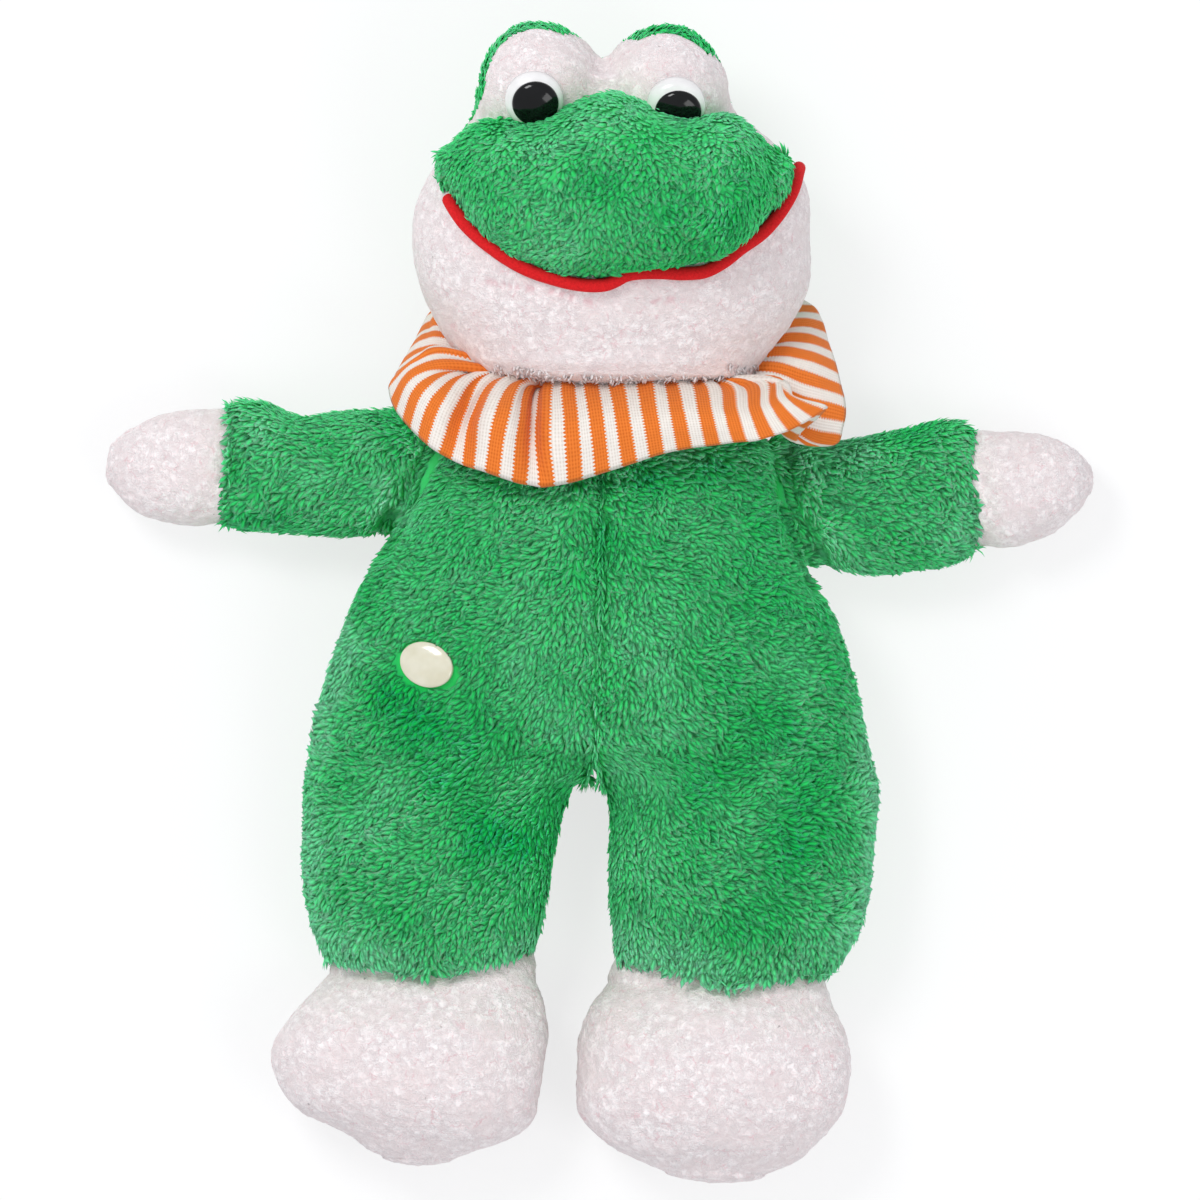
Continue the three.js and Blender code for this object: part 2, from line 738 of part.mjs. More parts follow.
// The badge's foot on the body's front, +Z out of the cloth.
const badgeFrame = (() => {
  const [x, y] = place(badgeCentre);
  const facing = facingAt(torsoRibs, x, y);
  const turn = new THREE.Quaternion().setFromUnitVectors(new THREE.Vector3(0, 0, 1), facing);
  return new THREE.Matrix4().compose(
    new THREE.Vector3(x, y, frontAt(torsoRibs, x, y)).addScaledVector(facing, seamGap),
    turn.multiply(new THREE.Quaternion().setFromAxisAngle(new THREE.Vector3(0, 0, 1), badgeTurn)),
    new THREE.Vector3(1, 1, 1),
  );
})();

// The oval badge with a plain domed face and a short shank.
function badgeSolid(growth) {
  const reach = coverWall + seamGap + washerThickness;
  const profile = [[0, growth > 0 ? -growth : 0], [badgeHalfLong + growth, growth > 0 ? -growth : 0],
    [badgeHalfLong + growth, badgeEdge]];
  for (const share of [0.35, 0.7]) {
    const turn = share * Math.PI / 2;
    profile.push([(badgeHalfLong + growth) * Math.cos(turn), badgeEdge + badgeDome * Math.sin(turn)]);
  }
  profile.push([0, badgeEdge + badgeDome]);
  const oval = turned(profile);
  oval.scale(1, badgeHalfShort / badgeHalfLong, 1);
  const shank = turned([[0, -reach - growth], [badgeShankRadius + growth, -reach - growth],
    [badgeShankRadius + growth, badgeEdge], [0, badgeEdge]], innerSides.limb);
  return solidFrom(oval.applyMatrix4(badgeFrame)).add(solidFrom(shank.applyMatrix4(badgeFrame)));
}

// The ruff: a gathered collar from a ring round the neck over a mid fold to its wavy edge.
function ruffSolid() {
  const count = ruffStations.length;
  const stepsRound = 5 * ruffPleats;
  const rowsOut = 3;
  const ring = neckBallRadius + ruffSeatGap;
  const [cx, cy] = place([neckColumn, ruffRingRow]);
  const stations = ruffStations.map(({ angle, mid, midShare, edge, edgeShare }) => {
    const turn = THREE.MathUtils.degToRad(angle);
    return [cx + ring * Math.cos(turn), cy, neckHeight + ring * Math.sin(turn),
      ...place(mid), midShare * ruffHeight, ...place(edge), edgeShare * ruffHeight];
  });
  const surface = [];
  for (let i = 0; i < stepsRound; i++) {
    const along = (i / stepsRound) * count;
    const k = Math.floor(along);
    const row = stations[k].map((value, j) => smooth(
      stations[(k + count - 1) % count][j], value, stations[(k + 1) % count][j],
      stations[(k + 2) % count][j], along - k));
    const ring = [];
    for (let r = 0; r < rowsOut; r++) {
      const t = r / (rowsOut - 1);
      const weights = [(1 - t) * (1 - t), 2 * t * (1 - t), t * t];
      ring.push([0, 1, 2].map((axis) =>
        weights[0] * row[axis] + weights[1] * row[3 + axis] + weights[2] * row[6 + axis]));
    }
    surface.push(ring);
  }
  const normalAt = (i, r) => {
    const before = surface[(i + stepsRound - 1) % stepsRound][r];
    const after = surface[(i + 1) % stepsRound][r];
    const inner = surface[i][Math.max(r - 1, 0)];
    const outer = surface[i][Math.min(r + 1, rowsOut - 1)];
    const round = new THREE.Vector3(...after).sub(new THREE.Vector3(...before));
    const out = new THREE.Vector3(...outer).sub(new THREE.Vector3(...inner));
    return new THREE.Vector3().crossVectors(out, round).normalize();
  };
  const points = [];
  for (const side of [1, -1])
    for (let i = 0; i < stepsRound; i++)
      for (let r = 0; r < rowsOut; r++) {
        const normal = normalAt(i, r);
        const wave = Math.sin((i / stepsRound) * ruffPleats * 2 * Math.PI);
        const lift = (wave * ruffPleatDepth * r) / (rowsOut - 1) + (side * ruffThickness) / 2;
        const point = new THREE.Vector3(...surface[i][r]).addScaledVector(normal, lift);
        points.push(point.x, point.y, Math.max(point.z, side > 0 ? 2 * seamGap : seamGap));
      }
  const faces = [];
  const half = stepsRound * rowsOut;
  const quad = (a, b, c, d) => faces.push(a, b, c, a, c, d);
  for (let i = 0; i < stepsRound; i++) {
    const next = (i + 1) % stepsRound;
    for (let r = 0; r < rowsOut - 1; r++) {
      const a = i * rowsOut + r;
      const b = next * rowsOut + r;
      quad(a, a + 1, b + 1, b);
      quad(half + a, half + b, half + b + 1, half + a + 1);
    }
    quad(i * rowsOut, next * rowsOut, half + next * rowsOut, half + i * rowsOut);
    const a = i * rowsOut + rowsOut - 1;
    const b = next * rowsOut + rowsOut - 1;
    quad(a, half + a, half + b, b);
  }
  const geometry = new THREE.BufferGeometry();
  geometry.setAttribute("position", new THREE.Float32BufferAttribute(points, 3));
  geometry.setIndex(faces);
  const solid = solidFrom(geometry);
  if (solid.volume() > 0) return solid;
  for (let i = 0; i < faces.length; i += 3) [faces[i + 1], faces[i + 2]] = [faces[i + 2], faces[i + 1]];
  geometry.setIndex(faces);
  return solidFrom(geometry);
}

// The room in front of the jaw's seam, below the mouth's corners: seen along +X, its back is the seam's line.
function jawRoom(growth) {
  const reach = photoCentre * pixelSize + overrun;
  const corner = place([photoCentre, jawCorner])[1];
  const seamAt = (y) => jawSeamHeight - growth - jawSeamSlope * (corner - y);
  const shape = new THREE.Shape([
    new THREE.Vector2(corner + growth, seamAt(corner)),
    new THREE.Vector2(corner + growth, reach),
    new THREE.Vector2(-reach, reach),
    new THREE.Vector2(-reach, seamAt(-reach)),
  ]);
  const geometry = new THREE.ExtrudeGeometry(shape, { depth: 2 * reach, bevelEnabled: false, steps: 1 });
  geometry.translate(0, 0, -reach);
  geometry.applyMatrix4(new THREE.Matrix4().makeBasis(
    new THREE.Vector3(0, 1, 0), new THREE.Vector3(0, 0, 1), new THREE.Vector3(1, 0, 0),
  ));
  return solidFrom(geometry);
}

// The body's cover in two halves, and its filling.
function addTorso() {
  const badge = badgeSolid(seamGap);
  const badgeWasher = washerSolid(badgeFrame, badgeShankRadius, badgeWasherRadius, seamGap);
  const cover = torsoSolid(0).subtract(torsoSolid(coverWall)).subtract(neckOpening())
    .subtract(badge).subtract(badgeWasher);
  const filling = torsoSolid(coverWall + seamGap).subtract(neckSolid(seatGap));
  sideNames.forEach((side) => {
    addPiece("torso_cover_" + side, cover.intersect(seamSide(side, seamGap / 2)), colours.green, 0.95);
  });
  addPiece("torso_stuffing", filling.subtract(badge).subtract(badgeWasher), colours.filling, 1);
  addPiece("neck_stuffing", neckSolid(0), colours.filling, 1);
  addPiece("badge", badgeSolid(0), colours.cream, 0.2);
  addPiece("badge_washer",
    washerSolid(badgeFrame, badgeShankRadius + seamGap, badgeWasherRadius, 0), colours.clear, 0.4);
}

// The head's panels, its cord, eyes and filling.
function addHead() {
  const reach = photoCentre * pixelSize + overrun;
  const corner = place([photoCentre, jawCorner])[1];
  const neck = neckSolid(seatGap);
  const piping = pipingSolid(seamGap);
  const snoutRoom = snoutSolid(-seamGap);
  const filling = skullSolid(coverWall + seamGap).add(snoutSolid(coverWall + seamGap)).subtract(neck);
  const hollow = skullSolid(coverWall).add(snoutSolid(coverWall));
  const eyes = eyeFrames.map(eyeRoom);
  const clear = (solid) => eyes.reduce(
    (rest, eye) => rest.subtract(eye), solid.subtract(neck).subtract(piping));
  const skull = clear(skullSolid(0).subtract(hollow).subtract(snoutRoom));
  const eyeSide = box([-reach, corner, rimHeight], [reach, reach, reach]);
  const eyeCut = box([-reach, corner - seamGap, rimHeight - seamGap], [reach, reach, reach]);
  addPiece("head_hood", skull.subtract(jawRoom(seamGap)).subtract(eyeCut), colours.green, 0.95);
  addPiece("head_jaw", skull.intersect(jawRoom(0)), colours.pale, 0.95);
  addPiece("head_eye_panel", skull.intersect(eyeSide), colours.pale, 0.95);
  addPiece("head_snout", clear(snoutSolid(0).subtract(hollow)), colours.green, 0.95);
  addPiece("head_stuffing", clear(filling), colours.filling, 1);
  addPiece("mouth_piping", pipingSolid(0), colours.red, 0.9);
  eyeFrames.forEach((frame, i) => {
    const side = sideNames[i];
    addPiece("eye_white_" + side, eyeWhite(frame), colours.white, 0.15);
    addPiece("eye_pupil_" + side, eyePupil(frame), colours.black, 0.1);
    addPiece("eye_washer_" + side,
      washerSolid(frame, shankRadius + seamGap, washerRadius, 0), colours.clear, 0.4);
  });
}

addHead();
addPiece("ruff", ruffSolid(), colours.orange, 0.9);
addTorso();
limbs.forEach(({ side, arm, hand, leg, foot }) => {
  addLimb("sleeve_" + side, "sleeve_stuffing_" + side, arm, colours.green);
  addLimb("hand_" + side, "hand_stuffing_" + side, hand, colours.pale);
  addLimb("leg_" + side, "leg_stuffing_" + side, leg, colours.green);
  addLimb("foot_" + side, "foot_stuffing_" + side, foot, colours.pale);
});

// The origin is at the middle of the floor under the toy.
const bounds = new THREE.Box3().setFromObject(root);
const middle = bounds.getCenter(new THREE.Vector3());
root.position.set(-middle.x, -middle.y, -bounds.min.z);

export default root;
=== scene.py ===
# A plush frog lying on its back on a pale table, seen from straight above.
import math
from functools import partial
from itertools import product

import bpy
import numpy as np
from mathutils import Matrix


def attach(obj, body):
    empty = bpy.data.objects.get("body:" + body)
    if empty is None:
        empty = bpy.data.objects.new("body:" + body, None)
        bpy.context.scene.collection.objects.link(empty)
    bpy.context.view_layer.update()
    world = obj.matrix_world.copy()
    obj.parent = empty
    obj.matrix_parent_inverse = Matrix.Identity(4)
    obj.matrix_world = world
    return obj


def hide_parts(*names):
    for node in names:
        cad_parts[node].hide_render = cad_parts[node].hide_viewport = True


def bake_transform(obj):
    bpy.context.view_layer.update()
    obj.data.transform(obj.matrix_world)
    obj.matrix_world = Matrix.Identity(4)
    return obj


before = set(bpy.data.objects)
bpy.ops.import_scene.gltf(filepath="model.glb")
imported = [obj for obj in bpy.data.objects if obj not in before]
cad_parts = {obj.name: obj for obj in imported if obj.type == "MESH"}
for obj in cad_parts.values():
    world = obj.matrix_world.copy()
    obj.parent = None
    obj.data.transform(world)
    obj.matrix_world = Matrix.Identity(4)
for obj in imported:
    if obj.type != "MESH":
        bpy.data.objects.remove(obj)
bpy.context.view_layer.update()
print("frame loaded:", len(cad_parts), "nodes")

mm = 0.001
floorGap, tipGap = 0.6 * mm, 0.3 * mm     # the lowest that a cloth's skin and a lock may lie
photo = {
    "pixelSize": 403 * mm / 1168,    # the toy's height over its rows in the 1200 pixel photograph
    "middle": 600,
    "sideShift": 0.173 * mm,         # the CAD origin is this far from the photograph's middle
    "cameraHeight": 12.0,
    "focusHeight": 36 * mm,          # the height at which the pixel size holds
    "sensor": 36.0,
}


def place(pixels):
    # x = (column - middle) * pixel size, y = (middle - row) * pixel size
    pixels = np.asarray(pixels, float)
    return np.stack([(pixels[..., 0] - photo["middle"]) * photo["pixelSize"] + photo["sideShift"],
                     (photo["middle"] - pixels[..., 1]) * photo["pixelSize"]], -1)


def toPixels(points):
    # the inverse of place, from the first two coordinates
    return np.stack([(points[..., 0] - photo["sideShift"]) / photo["pixelSize"] + photo["middle"],
                     photo["middle"] - points[..., 1] / photo["pixelSize"]], -1)


def hashed(cells, seed):
    # mixes three whole numbers and a seed into an even spread of 0 to 1
    mask = 0x7FFFFFFF
    mixed = (cells[..., 0] * 73856093 ^ cells[..., 1] * 19349663 ^ cells[..., 2] * 83492791 ^ seed * 40503 + 977) & mask
    mixed = ((mixed ^ (mixed >> 15)) * 48271) & mask
    mixed = ((mixed ^ (mixed >> 13)) * 69621) & mask
    return (mixed ^ (mixed >> 11)) % 65536 / 65535.0


def softNoise(points, size, seed):
    # random values at the corners of a lattice of that size, mixed by s = t*t*(3-2t) along each axis; -1 to 1
    at = points / size
    low = np.floor(at).astype(np.int64)
    t = at - low
    t = t * t * (3 - 2 * t)
    total = np.zeros(points.shape[:-1])
    for corner in product((0, 1), repeat=3):
        weight = math.prod(t[..., i] if step else 1 - t[..., i] for i, step in enumerate(corner))
        total += weight * hashed(low + np.array(corner), seed)
    return total * 2 - 1


def clumpNoise(points, size, seed):
    # distances to the nearest and second nearest of one random point per lattice cell, in cell sizes
    at = points / size
    low = np.floor(at).astype(np.int64)
    near = np.full(points.shape[:-1], 9.0)
    second = near.copy()
    for step in product((-1, 0, 1), repeat=3):
        cell = low + np.array(step)
        spot = cell + np.stack([hashed(cell, seed + i) for i in (1, 2, 3)], -1)
        away = np.linalg.norm(at - spot, axis=-1)
        second = np.minimum(second, np.maximum(near, away))
        near = np.minimum(near, away)
    return near, second


def smoothStep(low, high, value):
    # 0 below low, 1 above high, t*t*(3-2t) between
    t = np.clip((value - low) / (high - low), 0, 1)
    return t * t * (3 - 2 * t)


def curveThrough(knots, values, at):
    # cubic pieces through the values, with slopes taken over the two neighbours
    knots, values, at = np.asarray(knots, float), np.asarray(values, float), np.asarray(at, float)
    slopes = np.gradient(values, knots, axis=0)
    i = np.clip(np.searchsorted(knots, at, side="right") - 1, 0, len(knots) - 2)
    span = knots[i + 1] - knots[i]
    t = (at - knots[i]) / span
    shape = (-1,) + (1,) * (values.ndim - 1)
    t, span = t.reshape(shape), span.reshape(shape)
    return ((2 * t**3 - 3 * t**2 + 1) * values[i] + (t**3 - 2 * t**2 + t) * span * slopes[i]
            + (3 * t**2 - 2 * t**3) * values[i + 1] + (t**3 - t**2) * span * slopes[i + 1])


def unit(vectors):
    # vectors over their lengths
    return vectors / np.maximum(np.linalg.norm(vectors, axis=-1, keepdims=True), 1e-12)


def signedPower(values, power):
    # |value|^power with the value's sign
    return np.sign(values) * np.abs(values) ** power


def turnsOf(count):
    # equal steps of one full turn, in radians
    return np.arange(count) / count * 2 * math.pi


def lengthsAlong(path):
    # the way from the first point to each point
    return np.concatenate([[0], np.cumsum(np.linalg.norm(np.diff(path, axis=0), axis=1))])


def lineDistance(pixels, line):
    # distance to the nearest piece of a line of pixels: to start + piece * clip(share, 0, 1)
    line = np.array(line, float)
    nearest = np.full(len(pixels), np.inf)
    for start, end in zip(line[:-1], line[1:]):
        share = np.clip((pixels - start) @ (end - start) / ((end - start) @ (end - start)), 0, 1)
        nearest = np.minimum(nearest, np.linalg.norm(pixels - start - share[:, None] * (end - start), axis=1))
    return nearest


# A skin is its points and its triangles.
def outward(points, triangles):
    # the sum of a . (b x c) / 6 is the volume, and is negative on an inside-out skin
    a, b, c = points[triangles[:, 0]], points[triangles[:, 1]], points[triangles[:, 2]]
    if (a * np.cross(b, c)).sum() < 0:
        triangles = triangles[:, ::-1]
    return points, triangles


def quadFaces(a, b, c, d):
    # two triangles for each four corners
    return np.concatenate([np.stack([a, b, c], -1).reshape(-1, 3), np.stack([a, c, d], -1).reshape(-1, 3)])


def closedGrid(grid, startPole, endPole):
    # rows of points round a form, joined to each other and to a pole at each end
    rows, sides = grid.shape[:2]
    points = np.vstack([startPole[None], grid.reshape(-1, 3), endPole[None]])
    here = 1 + np.arange(rows * sides).reshape(rows, sides)
    right = np.roll(here, -1, axis=1)
    quads = quadFaces(here[:-1], right[:-1], right[1:], here[1:])
    startFan = np.stack([np.zeros(sides, int), right[0], here[0]], -1)
    endFan = np.stack([np.full(sides, len(points) - 1), here[-1], right[-1]], -1)
    return outward(points, np.concatenate([quads, startFan, endFan]))


def normalsOf(points, triangles):
    # each vertex takes the sum of its triangles' normals, weighted by their areas
    a, b, c = points[triangles[:, 0]], points[triangles[:, 1]], points[triangles[:, 2]]
    faceNormals = np.cross(b - a, c - a)
    normals = np.stack([np.bincount(triangles.ravel(), np.repeat(faceNormals[:, i], 3), len(points))
                        for i in range(3)], -1)
    return unit(normals)


def ribsFrom(table, depth):
    # each rib: its two edge points, its back and its front, in metres
    table = np.array(table, float)
    return np.column_stack([place(table[:, :2]), place(table[:, 2:4]), table[:, 4:] * depth])


def middleOf(ribs):
    # halfway between the two edge points
    return (ribs[..., :2] + ribs[..., 2:4]) / 2


def domed(rib, tip, rows):
    # ribs shrinking as cos(turn) while their middle goes to the tip as sin(turn)
    turn = (np.arange(1, rows + 1) / (rows + 1) * math.pi / 2)[:, None]
    middle = middleOf(rib)
    at = middle + (np.asarray(tip) - middle) * np.sin(turn)
    deep = (rib[4] + rib[5]) / 2
    half = (rib[5] - rib[4]) / 2 * np.cos(turn)
    return np.column_stack([at + (rib[:2] - middle) * np.cos(turn), at + (rib[2:4] - middle) * np.cos(turn),
                            deep - half, deep + half])


def ovalSkin(ribs, startTip, endTip, spacing, fullness=0.9):
    # rib by rib an oval: across = (1 - cos a)/2 between the edges, height = middle + half depth * sin(a)^fullness
    knots = lengthsAlong(middleOf(ribs))
    rows = curveThrough(knots, ribs, np.linspace(0, knots[-1], max(int(knots[-1] / spacing), 4)))
    caps, poles = [], []
    for tip, row in ((startTip, rows[0]), (endTip, rows[-1])):
        reach = np.linalg.norm(tip - middleOf(row))
        caps.append(domed(row, tip, max(int(reach * 1.6 / spacing), 8)))
        poles.append(np.append(tip, (row[4] + row[5]) / 2))
    rows = np.vstack([caps[0][::-1], rows, caps[1]])
    widest = np.linalg.norm(rows[:, 2:4] - rows[:, :2], axis=1).max()
    sides = int((widest * 2 + (rows[:, 5] - rows[:, 4]).max()) / spacing)
    turn = turnsOf(sides)
    across = ((1 - signedPower(np.cos(turn), fullness)) / 2)[None, :, None]
    height = signedPower(np.sin(turn), fullness)[None]
    flat = rows[:, None, :2] + (rows[:, None, 2:4] - rows[:, None, :2]) * across
    deep = (rows[:, 4:5] + rows[:, 5:6]) / 2 + height * (rows[:, 5:6] - rows[:, 4:5]) / 2
    return closedGrid(np.dstack([flat, deep]), *poles)


def limbTips(ribs, reachBack, reachOut):
    # tips beyond the first and the last rib, square to them
    tips = []
    for rib, other, reach in ((ribs[0], ribs[1], reachBack), (ribs[-1], ribs[-2], reachOut)):
        middle, beside = middleOf(rib), middleOf(other)
        across = unit(rib[2:4] - rib[:2])
        away = np.array([-across[1], across[0]])
        tips.append(middle + away * np.sign(((middle - beside) * away).sum()) * reach)
    return tips


def inward(skin, amount):
    # moves a skin in along its normals, because the outlines are those of the pile's tips
    points, triangles = skin
    return points - normalsOf(points, triangles) * amount, triangles


def dented(skin, amount, size, seed):
    # moves a skin along its normals by soft noise of two sizes, as uneven stuffing does, and keeps it off the floor
    points, triangles = skin
    wave = softNoise(points, size, seed) + 0.5 * softNoise(points, size / 2, seed + 7)
    points = points + normalsOf(points, triangles) * (wave * amount)[:, None]
    points[:, 2] = np.maximum(points[:, 2], floorGap)
    return points, triangles


def creased(skin, creases):
    # the front goes in near each line of pixels by depth * exp(-(distance / width)^2)
    points, triangles = skin
    normals = normalsOf(points, triangles)
    pixels = toPixels(points)
    amount = np.zeros(len(points))
    for crease in creases:
        near = lineDistance(pixels, crease["line"]) * photo["pixelSize"]
        amount = np.maximum(amount, crease["depth"] * np.exp(-(near / crease["width"]) ** 2))
    return points - normals * (amount * smoothStep(0, 0.4, normals[:, 2]))[:, None], triangles


def lumpy(skin, size, height, seed):
    # clumps of matted pile: height * (second - first)^0.6 of the clump noise, and finer soft noise over it
    points, triangles = skin
    near, second = clumpNoise(points + (1.2 * mm) * softNoise(points, 3 * mm, seed)[:, None], size, seed)
    lift = np.clip(second - near, 0, 0.5) ** 0.6 + 0.4 * softNoise(points, 1.6 * mm, seed + 3)
    return points + normalsOf(points, triangles) * (lift * height)[:, None], triangles


def addPiece(name, points, triangles, material, tone=None, uv=None):
    # puts the arrays into a mesh object at the origin; tone is kept per point, uv per triangle corner
    mesh = bpy.data.meshes.new(name)
    mesh.vertices.add(len(points))
    mesh.vertices.foreach_set("co", points.astype(np.float32).ravel())
    mesh.loops.add(triangles.size)
    mesh.loops.foreach_set("vertex_index", triangles.astype(np.int32).ravel())
    mesh.polygons.add(len(triangles))
    mesh.polygons.foreach_set("loop_start", np.arange(0, triangles.size, 3, dtype=np.int32))
    mesh.polygons.foreach_set("use_smooth", np.ones(len(triangles), bool))
    mesh.update(calc_edges=True)
    if tone is not None:
        mesh.attributes.new("tone", "FLOAT", "POINT").data.foreach_set("value", tone.astype(np.float32))
    if uv is not None:
        mesh.uv_layers.new(name="cloth").data.foreach_set("uv", uv.astype(np.float32).ravel())
    if material:
        mesh.materials.append(material)
    made = bpy.data.objects.new(name, mesh)
    bpy.context.scene.collection.objects.link(made)
    return made


stuffing = {
    "voxel": 5 * mm, "pressure": 4.0, "frames": 20,
    "most": 7 * mm,          # how far a point of the cloth may move
    "share": 0.55,           # of the movement that stays after the mean swelling is taken off
    "reach": 6 * mm,
}


def pointsOf(mesh):
    # a mesh's points as rows
    points = np.empty(len(mesh.vertices) * 3)
    mesh.vertices.foreach_get("co", points)
    return points.reshape(-1, 3)


def stuffed(skin):
    # a coarse copy is blown up as cloth under pressure. Its movement, without the mean swelling, is carried to the
    # skin by weights exp(-(distance / reach)^2), so that the outline stays and the cloth pulls between its curves
    points, triangles = skin
    form = addPiece("form", points, triangles, None)
    remesh = form.modifiers.new("coarse", "REMESH")
    remesh.mode, remesh.voxel_size = "VOXEL", stuffing["voxel"]
    graph = bpy.context.evaluated_depsgraph_get()
    coarse = bpy.data.meshes.new_from_object(form.evaluated_get(graph))
    form.modifiers.clear()
    form.data = coarse
    start = pointsOf(coarse)
    cloth = form.modifiers.new("stuffing", "CLOTH")
    cloth.settings.use_pressure = True
    cloth.settings.uniform_pressure_force = stuffing["pressure"]
    cloth.settings.effector_weights.gravity = 0
    cloth.settings.quality = 4
    cloth.point_cache.frame_end = stuffing["frames"]
    for step in range(1, stuffing["frames"] + 1):
        bpy.context.scene.frame_set(step)
    swollen = pointsOf(form.evaluated_get(bpy.context.evaluated_depsgraph_get()).data)
    bpy.context.scene.frame_set(1)
    bpy.data.objects.remove(form)
    moved = swollen - start
    moved *= np.minimum(1, stuffing["most"] / np.maximum(np.linalg.norm(moved, axis=1), 1e-9))[:, None]
    carried = np.zeros_like(points)
    for low in range(0, len(points), 4000):
        some = points[low:low + 4000]
        square = (some ** 2).sum(1)[:, None] + (start ** 2).sum(1)[None] - 2 * some @ start.T
        weight = np.exp(-square / stuffing["reach"] ** 2)
        carried[low:low + 4000] = weight @ moved / np.maximum(weight.sum(1), 1e-9)[:, None]
    normals = normalsOf(points, triangles)
    swelling = (carried * normals).sum(1)
    points = points + normals * ((swelling - swelling.mean()) * stuffing["share"])[:, None]
    points[:, 2] = np.maximum(points[:, 2], floorGap)
    return points, triangles


def lockRoots(skin, areaEach, keep, seed):
    # each triangle carries its area / areaEach locks, the remainder by chance, anywhere on it
    points, triangles = skin
    normals = normalsOf(points, triangles)
    random = np.random.default_rng(seed)
    a, b, c = (points[triangles[:, i]] for i in range(3))
    areas = np.linalg.norm(np.cross(b - a, c - a), axis=1) / 2
    counts = np.floor(areas / areaEach + random.random(len(areas))).astype(int)
    chosen = np.repeat(np.arange(len(triangles)), counts)
    shares = random.dirichlet((1.6, 1.6, 1.6), len(chosen))
    corners = triangles[chosen]
    roots = (points[corners] * shares[..., None]).sum(1)
    facing = unit((normals[corners] * shares[..., None]).sum(1))
    kept = keep(roots, facing)
    return roots[kept], facing[kept]


def lockMesh(roots, facing, ways, pile, seed):
    # a lock leaves the cloth at the lean, bends to the lay, and tapers to a blunt tip:
    # point(u) = root + length * integral of (cos(angle) * way + sin(angle) * facing), angle from lean to lay
    random = np.random.default_rng(seed)
    count = len(roots)
    ways = unit(ways - (ways * facing).sum(1, keepdims=True) * facing)
    swing = (random.random(count) - 0.5) * 2 * pile["scatter"]
    sides = np.cross(facing, ways)
    ways = ways * np.cos(swing)[:, None] + sides * np.sin(swing)[:, None]
    sides = np.cross(facing, ways)
    length = pile["length"] * (1 + pile["lengthSpread"] * (random.random(count) * 2 - 1))
    width = pile["width"] * (0.75 + 0.5 * random.random(count))
    lean = pile["lean"] * (0.8 + 0.4 * random.random(count))
    lay = pile["lay"] + 0.3 * (random.random(count) - 0.5)
    curl = pile["curl"] * (softNoise(roots, pile["curlSize"], seed) + 0.5 * (random.random(count) * 2 - 1))
    shares = pile["ringShares"]
    at = roots - facing * pile["sunk"]
    rings, tones = [], []
    before = 0.0
    for ring, share in enumerate(shares + [1.0]):
        middle = (before + share) / 2
        angle = lean + (lay - lean) * middle
        along = ways * np.cos(curl * middle)[:, None] + sides * np.sin(curl * middle)[:, None]
        step = along * np.cos(angle)[:, None] + facing * np.sin(angle)[:, None]
        at = at + step * (length * (share - before))[:, None]
        before = share
        if ring == len(shares):
            rings.append(at[:, None])
            tones.append(np.full((count, 1), share))
            continue
        across = np.cross(facing, along)
        up = unit(facing * np.cos(angle)[:, None] - along * np.sin(angle)[:, None])
        half = (width * pile["ringWidths"][ring] / 2)[:, None]
        rings.append(np.stack([at - across * half - up * half * 0.2, at + up * half * pile["ridge"],
                               at + across * half - up * half * 0.2], 1))
        tones.append(np.full((count, 3), share))
    points = np.concatenate(rings, 1)
    points[..., 2] = np.maximum(points[..., 2], tipGap)
    each = points.shape[1]
    faces = [[0, 2, 1]]
    for ring in range(len(shares) - 1):
        for k in range(3):
            a, b = ring * 3 + k, ring * 3 + (k + 1) % 3
            faces += [[a, b, b + 3], [a, b + 3, a + 3]]
    last = (len(shares) - 1) * 3
    faces += [[last + k, last + (k + 1) % 3, each - 1] for k in range(3)]
    triangles = (np.arange(count)[:, None, None] * each + np.array(faces)[None]).reshape(-1, 3)
    shade = (random.random(count)[:, None] - 0.5) * pile["toneSpread"]
    tone = np.clip(np.concatenate(tones, 1) * pile["toneRise"] + shade + pile["toneBase"], 0, 1)
    return points.reshape(-1, 3), triangles, tone.ravel()


def joined(*parts):
    # stacks (points, triangles, tone) parts into one
    offsets = np.cumsum([0] + [len(part[0]) for part in parts[:-1]])
    return (np.vstack([part[0] for part in parts]),
            np.vstack([part[1] + offset for part, offset in zip(parts, offsets)]),
            np.concatenate([part[2] for part in parts]))


def linear(hexColour):
    # sRGB hex to linear: c/12.92 below 0.04045, ((c + 0.055)/1.055)^2.4 above
    parts = [int(hexColour[i:i + 2], 16) / 255 for i in (1, 3, 5)]
    return tuple(c / 12.92 if c <= 0.04045 else ((c + 0.055) / 1.055) ** 2.4 for c in parts) + (1.0,)


def setUp(node, settings):
    # a setting is a ramp's stops as (place, hex) pairs, a property, or an input's value: a number, a hex colour,
    # or the socket or node that feeds it, of which the first socket in use counts
    for key, value in settings.items():
        if key == "stops":
            for position, _ in value[1:-1]:
                node.color_ramp.elements.new(position)
            for element, (position, colour) in zip(node.color_ramp.elements, value):
                element.position, element.color = position, linear(colour)
        elif isinstance(key, str) and key not in node.inputs:
            setattr(node, key, value)
        elif isinstance(value, bpy.types.Node):
            node.id_data.links.new(next(socket for socket in value.outputs if socket.enabled), node.inputs[key])
        elif isinstance(value, bpy.types.NodeSocket):
            node.id_data.links.new(value, node.inputs[key])
        else:
            node.inputs[key].default_value = linear(value) if isinstance(value, str) else value
    return node


def addNode(owner, kind, settings={}):
    # one node of a material or of the world
    return setUp(owner.node_tree.nodes.new("ShaderNode" + kind), settings)


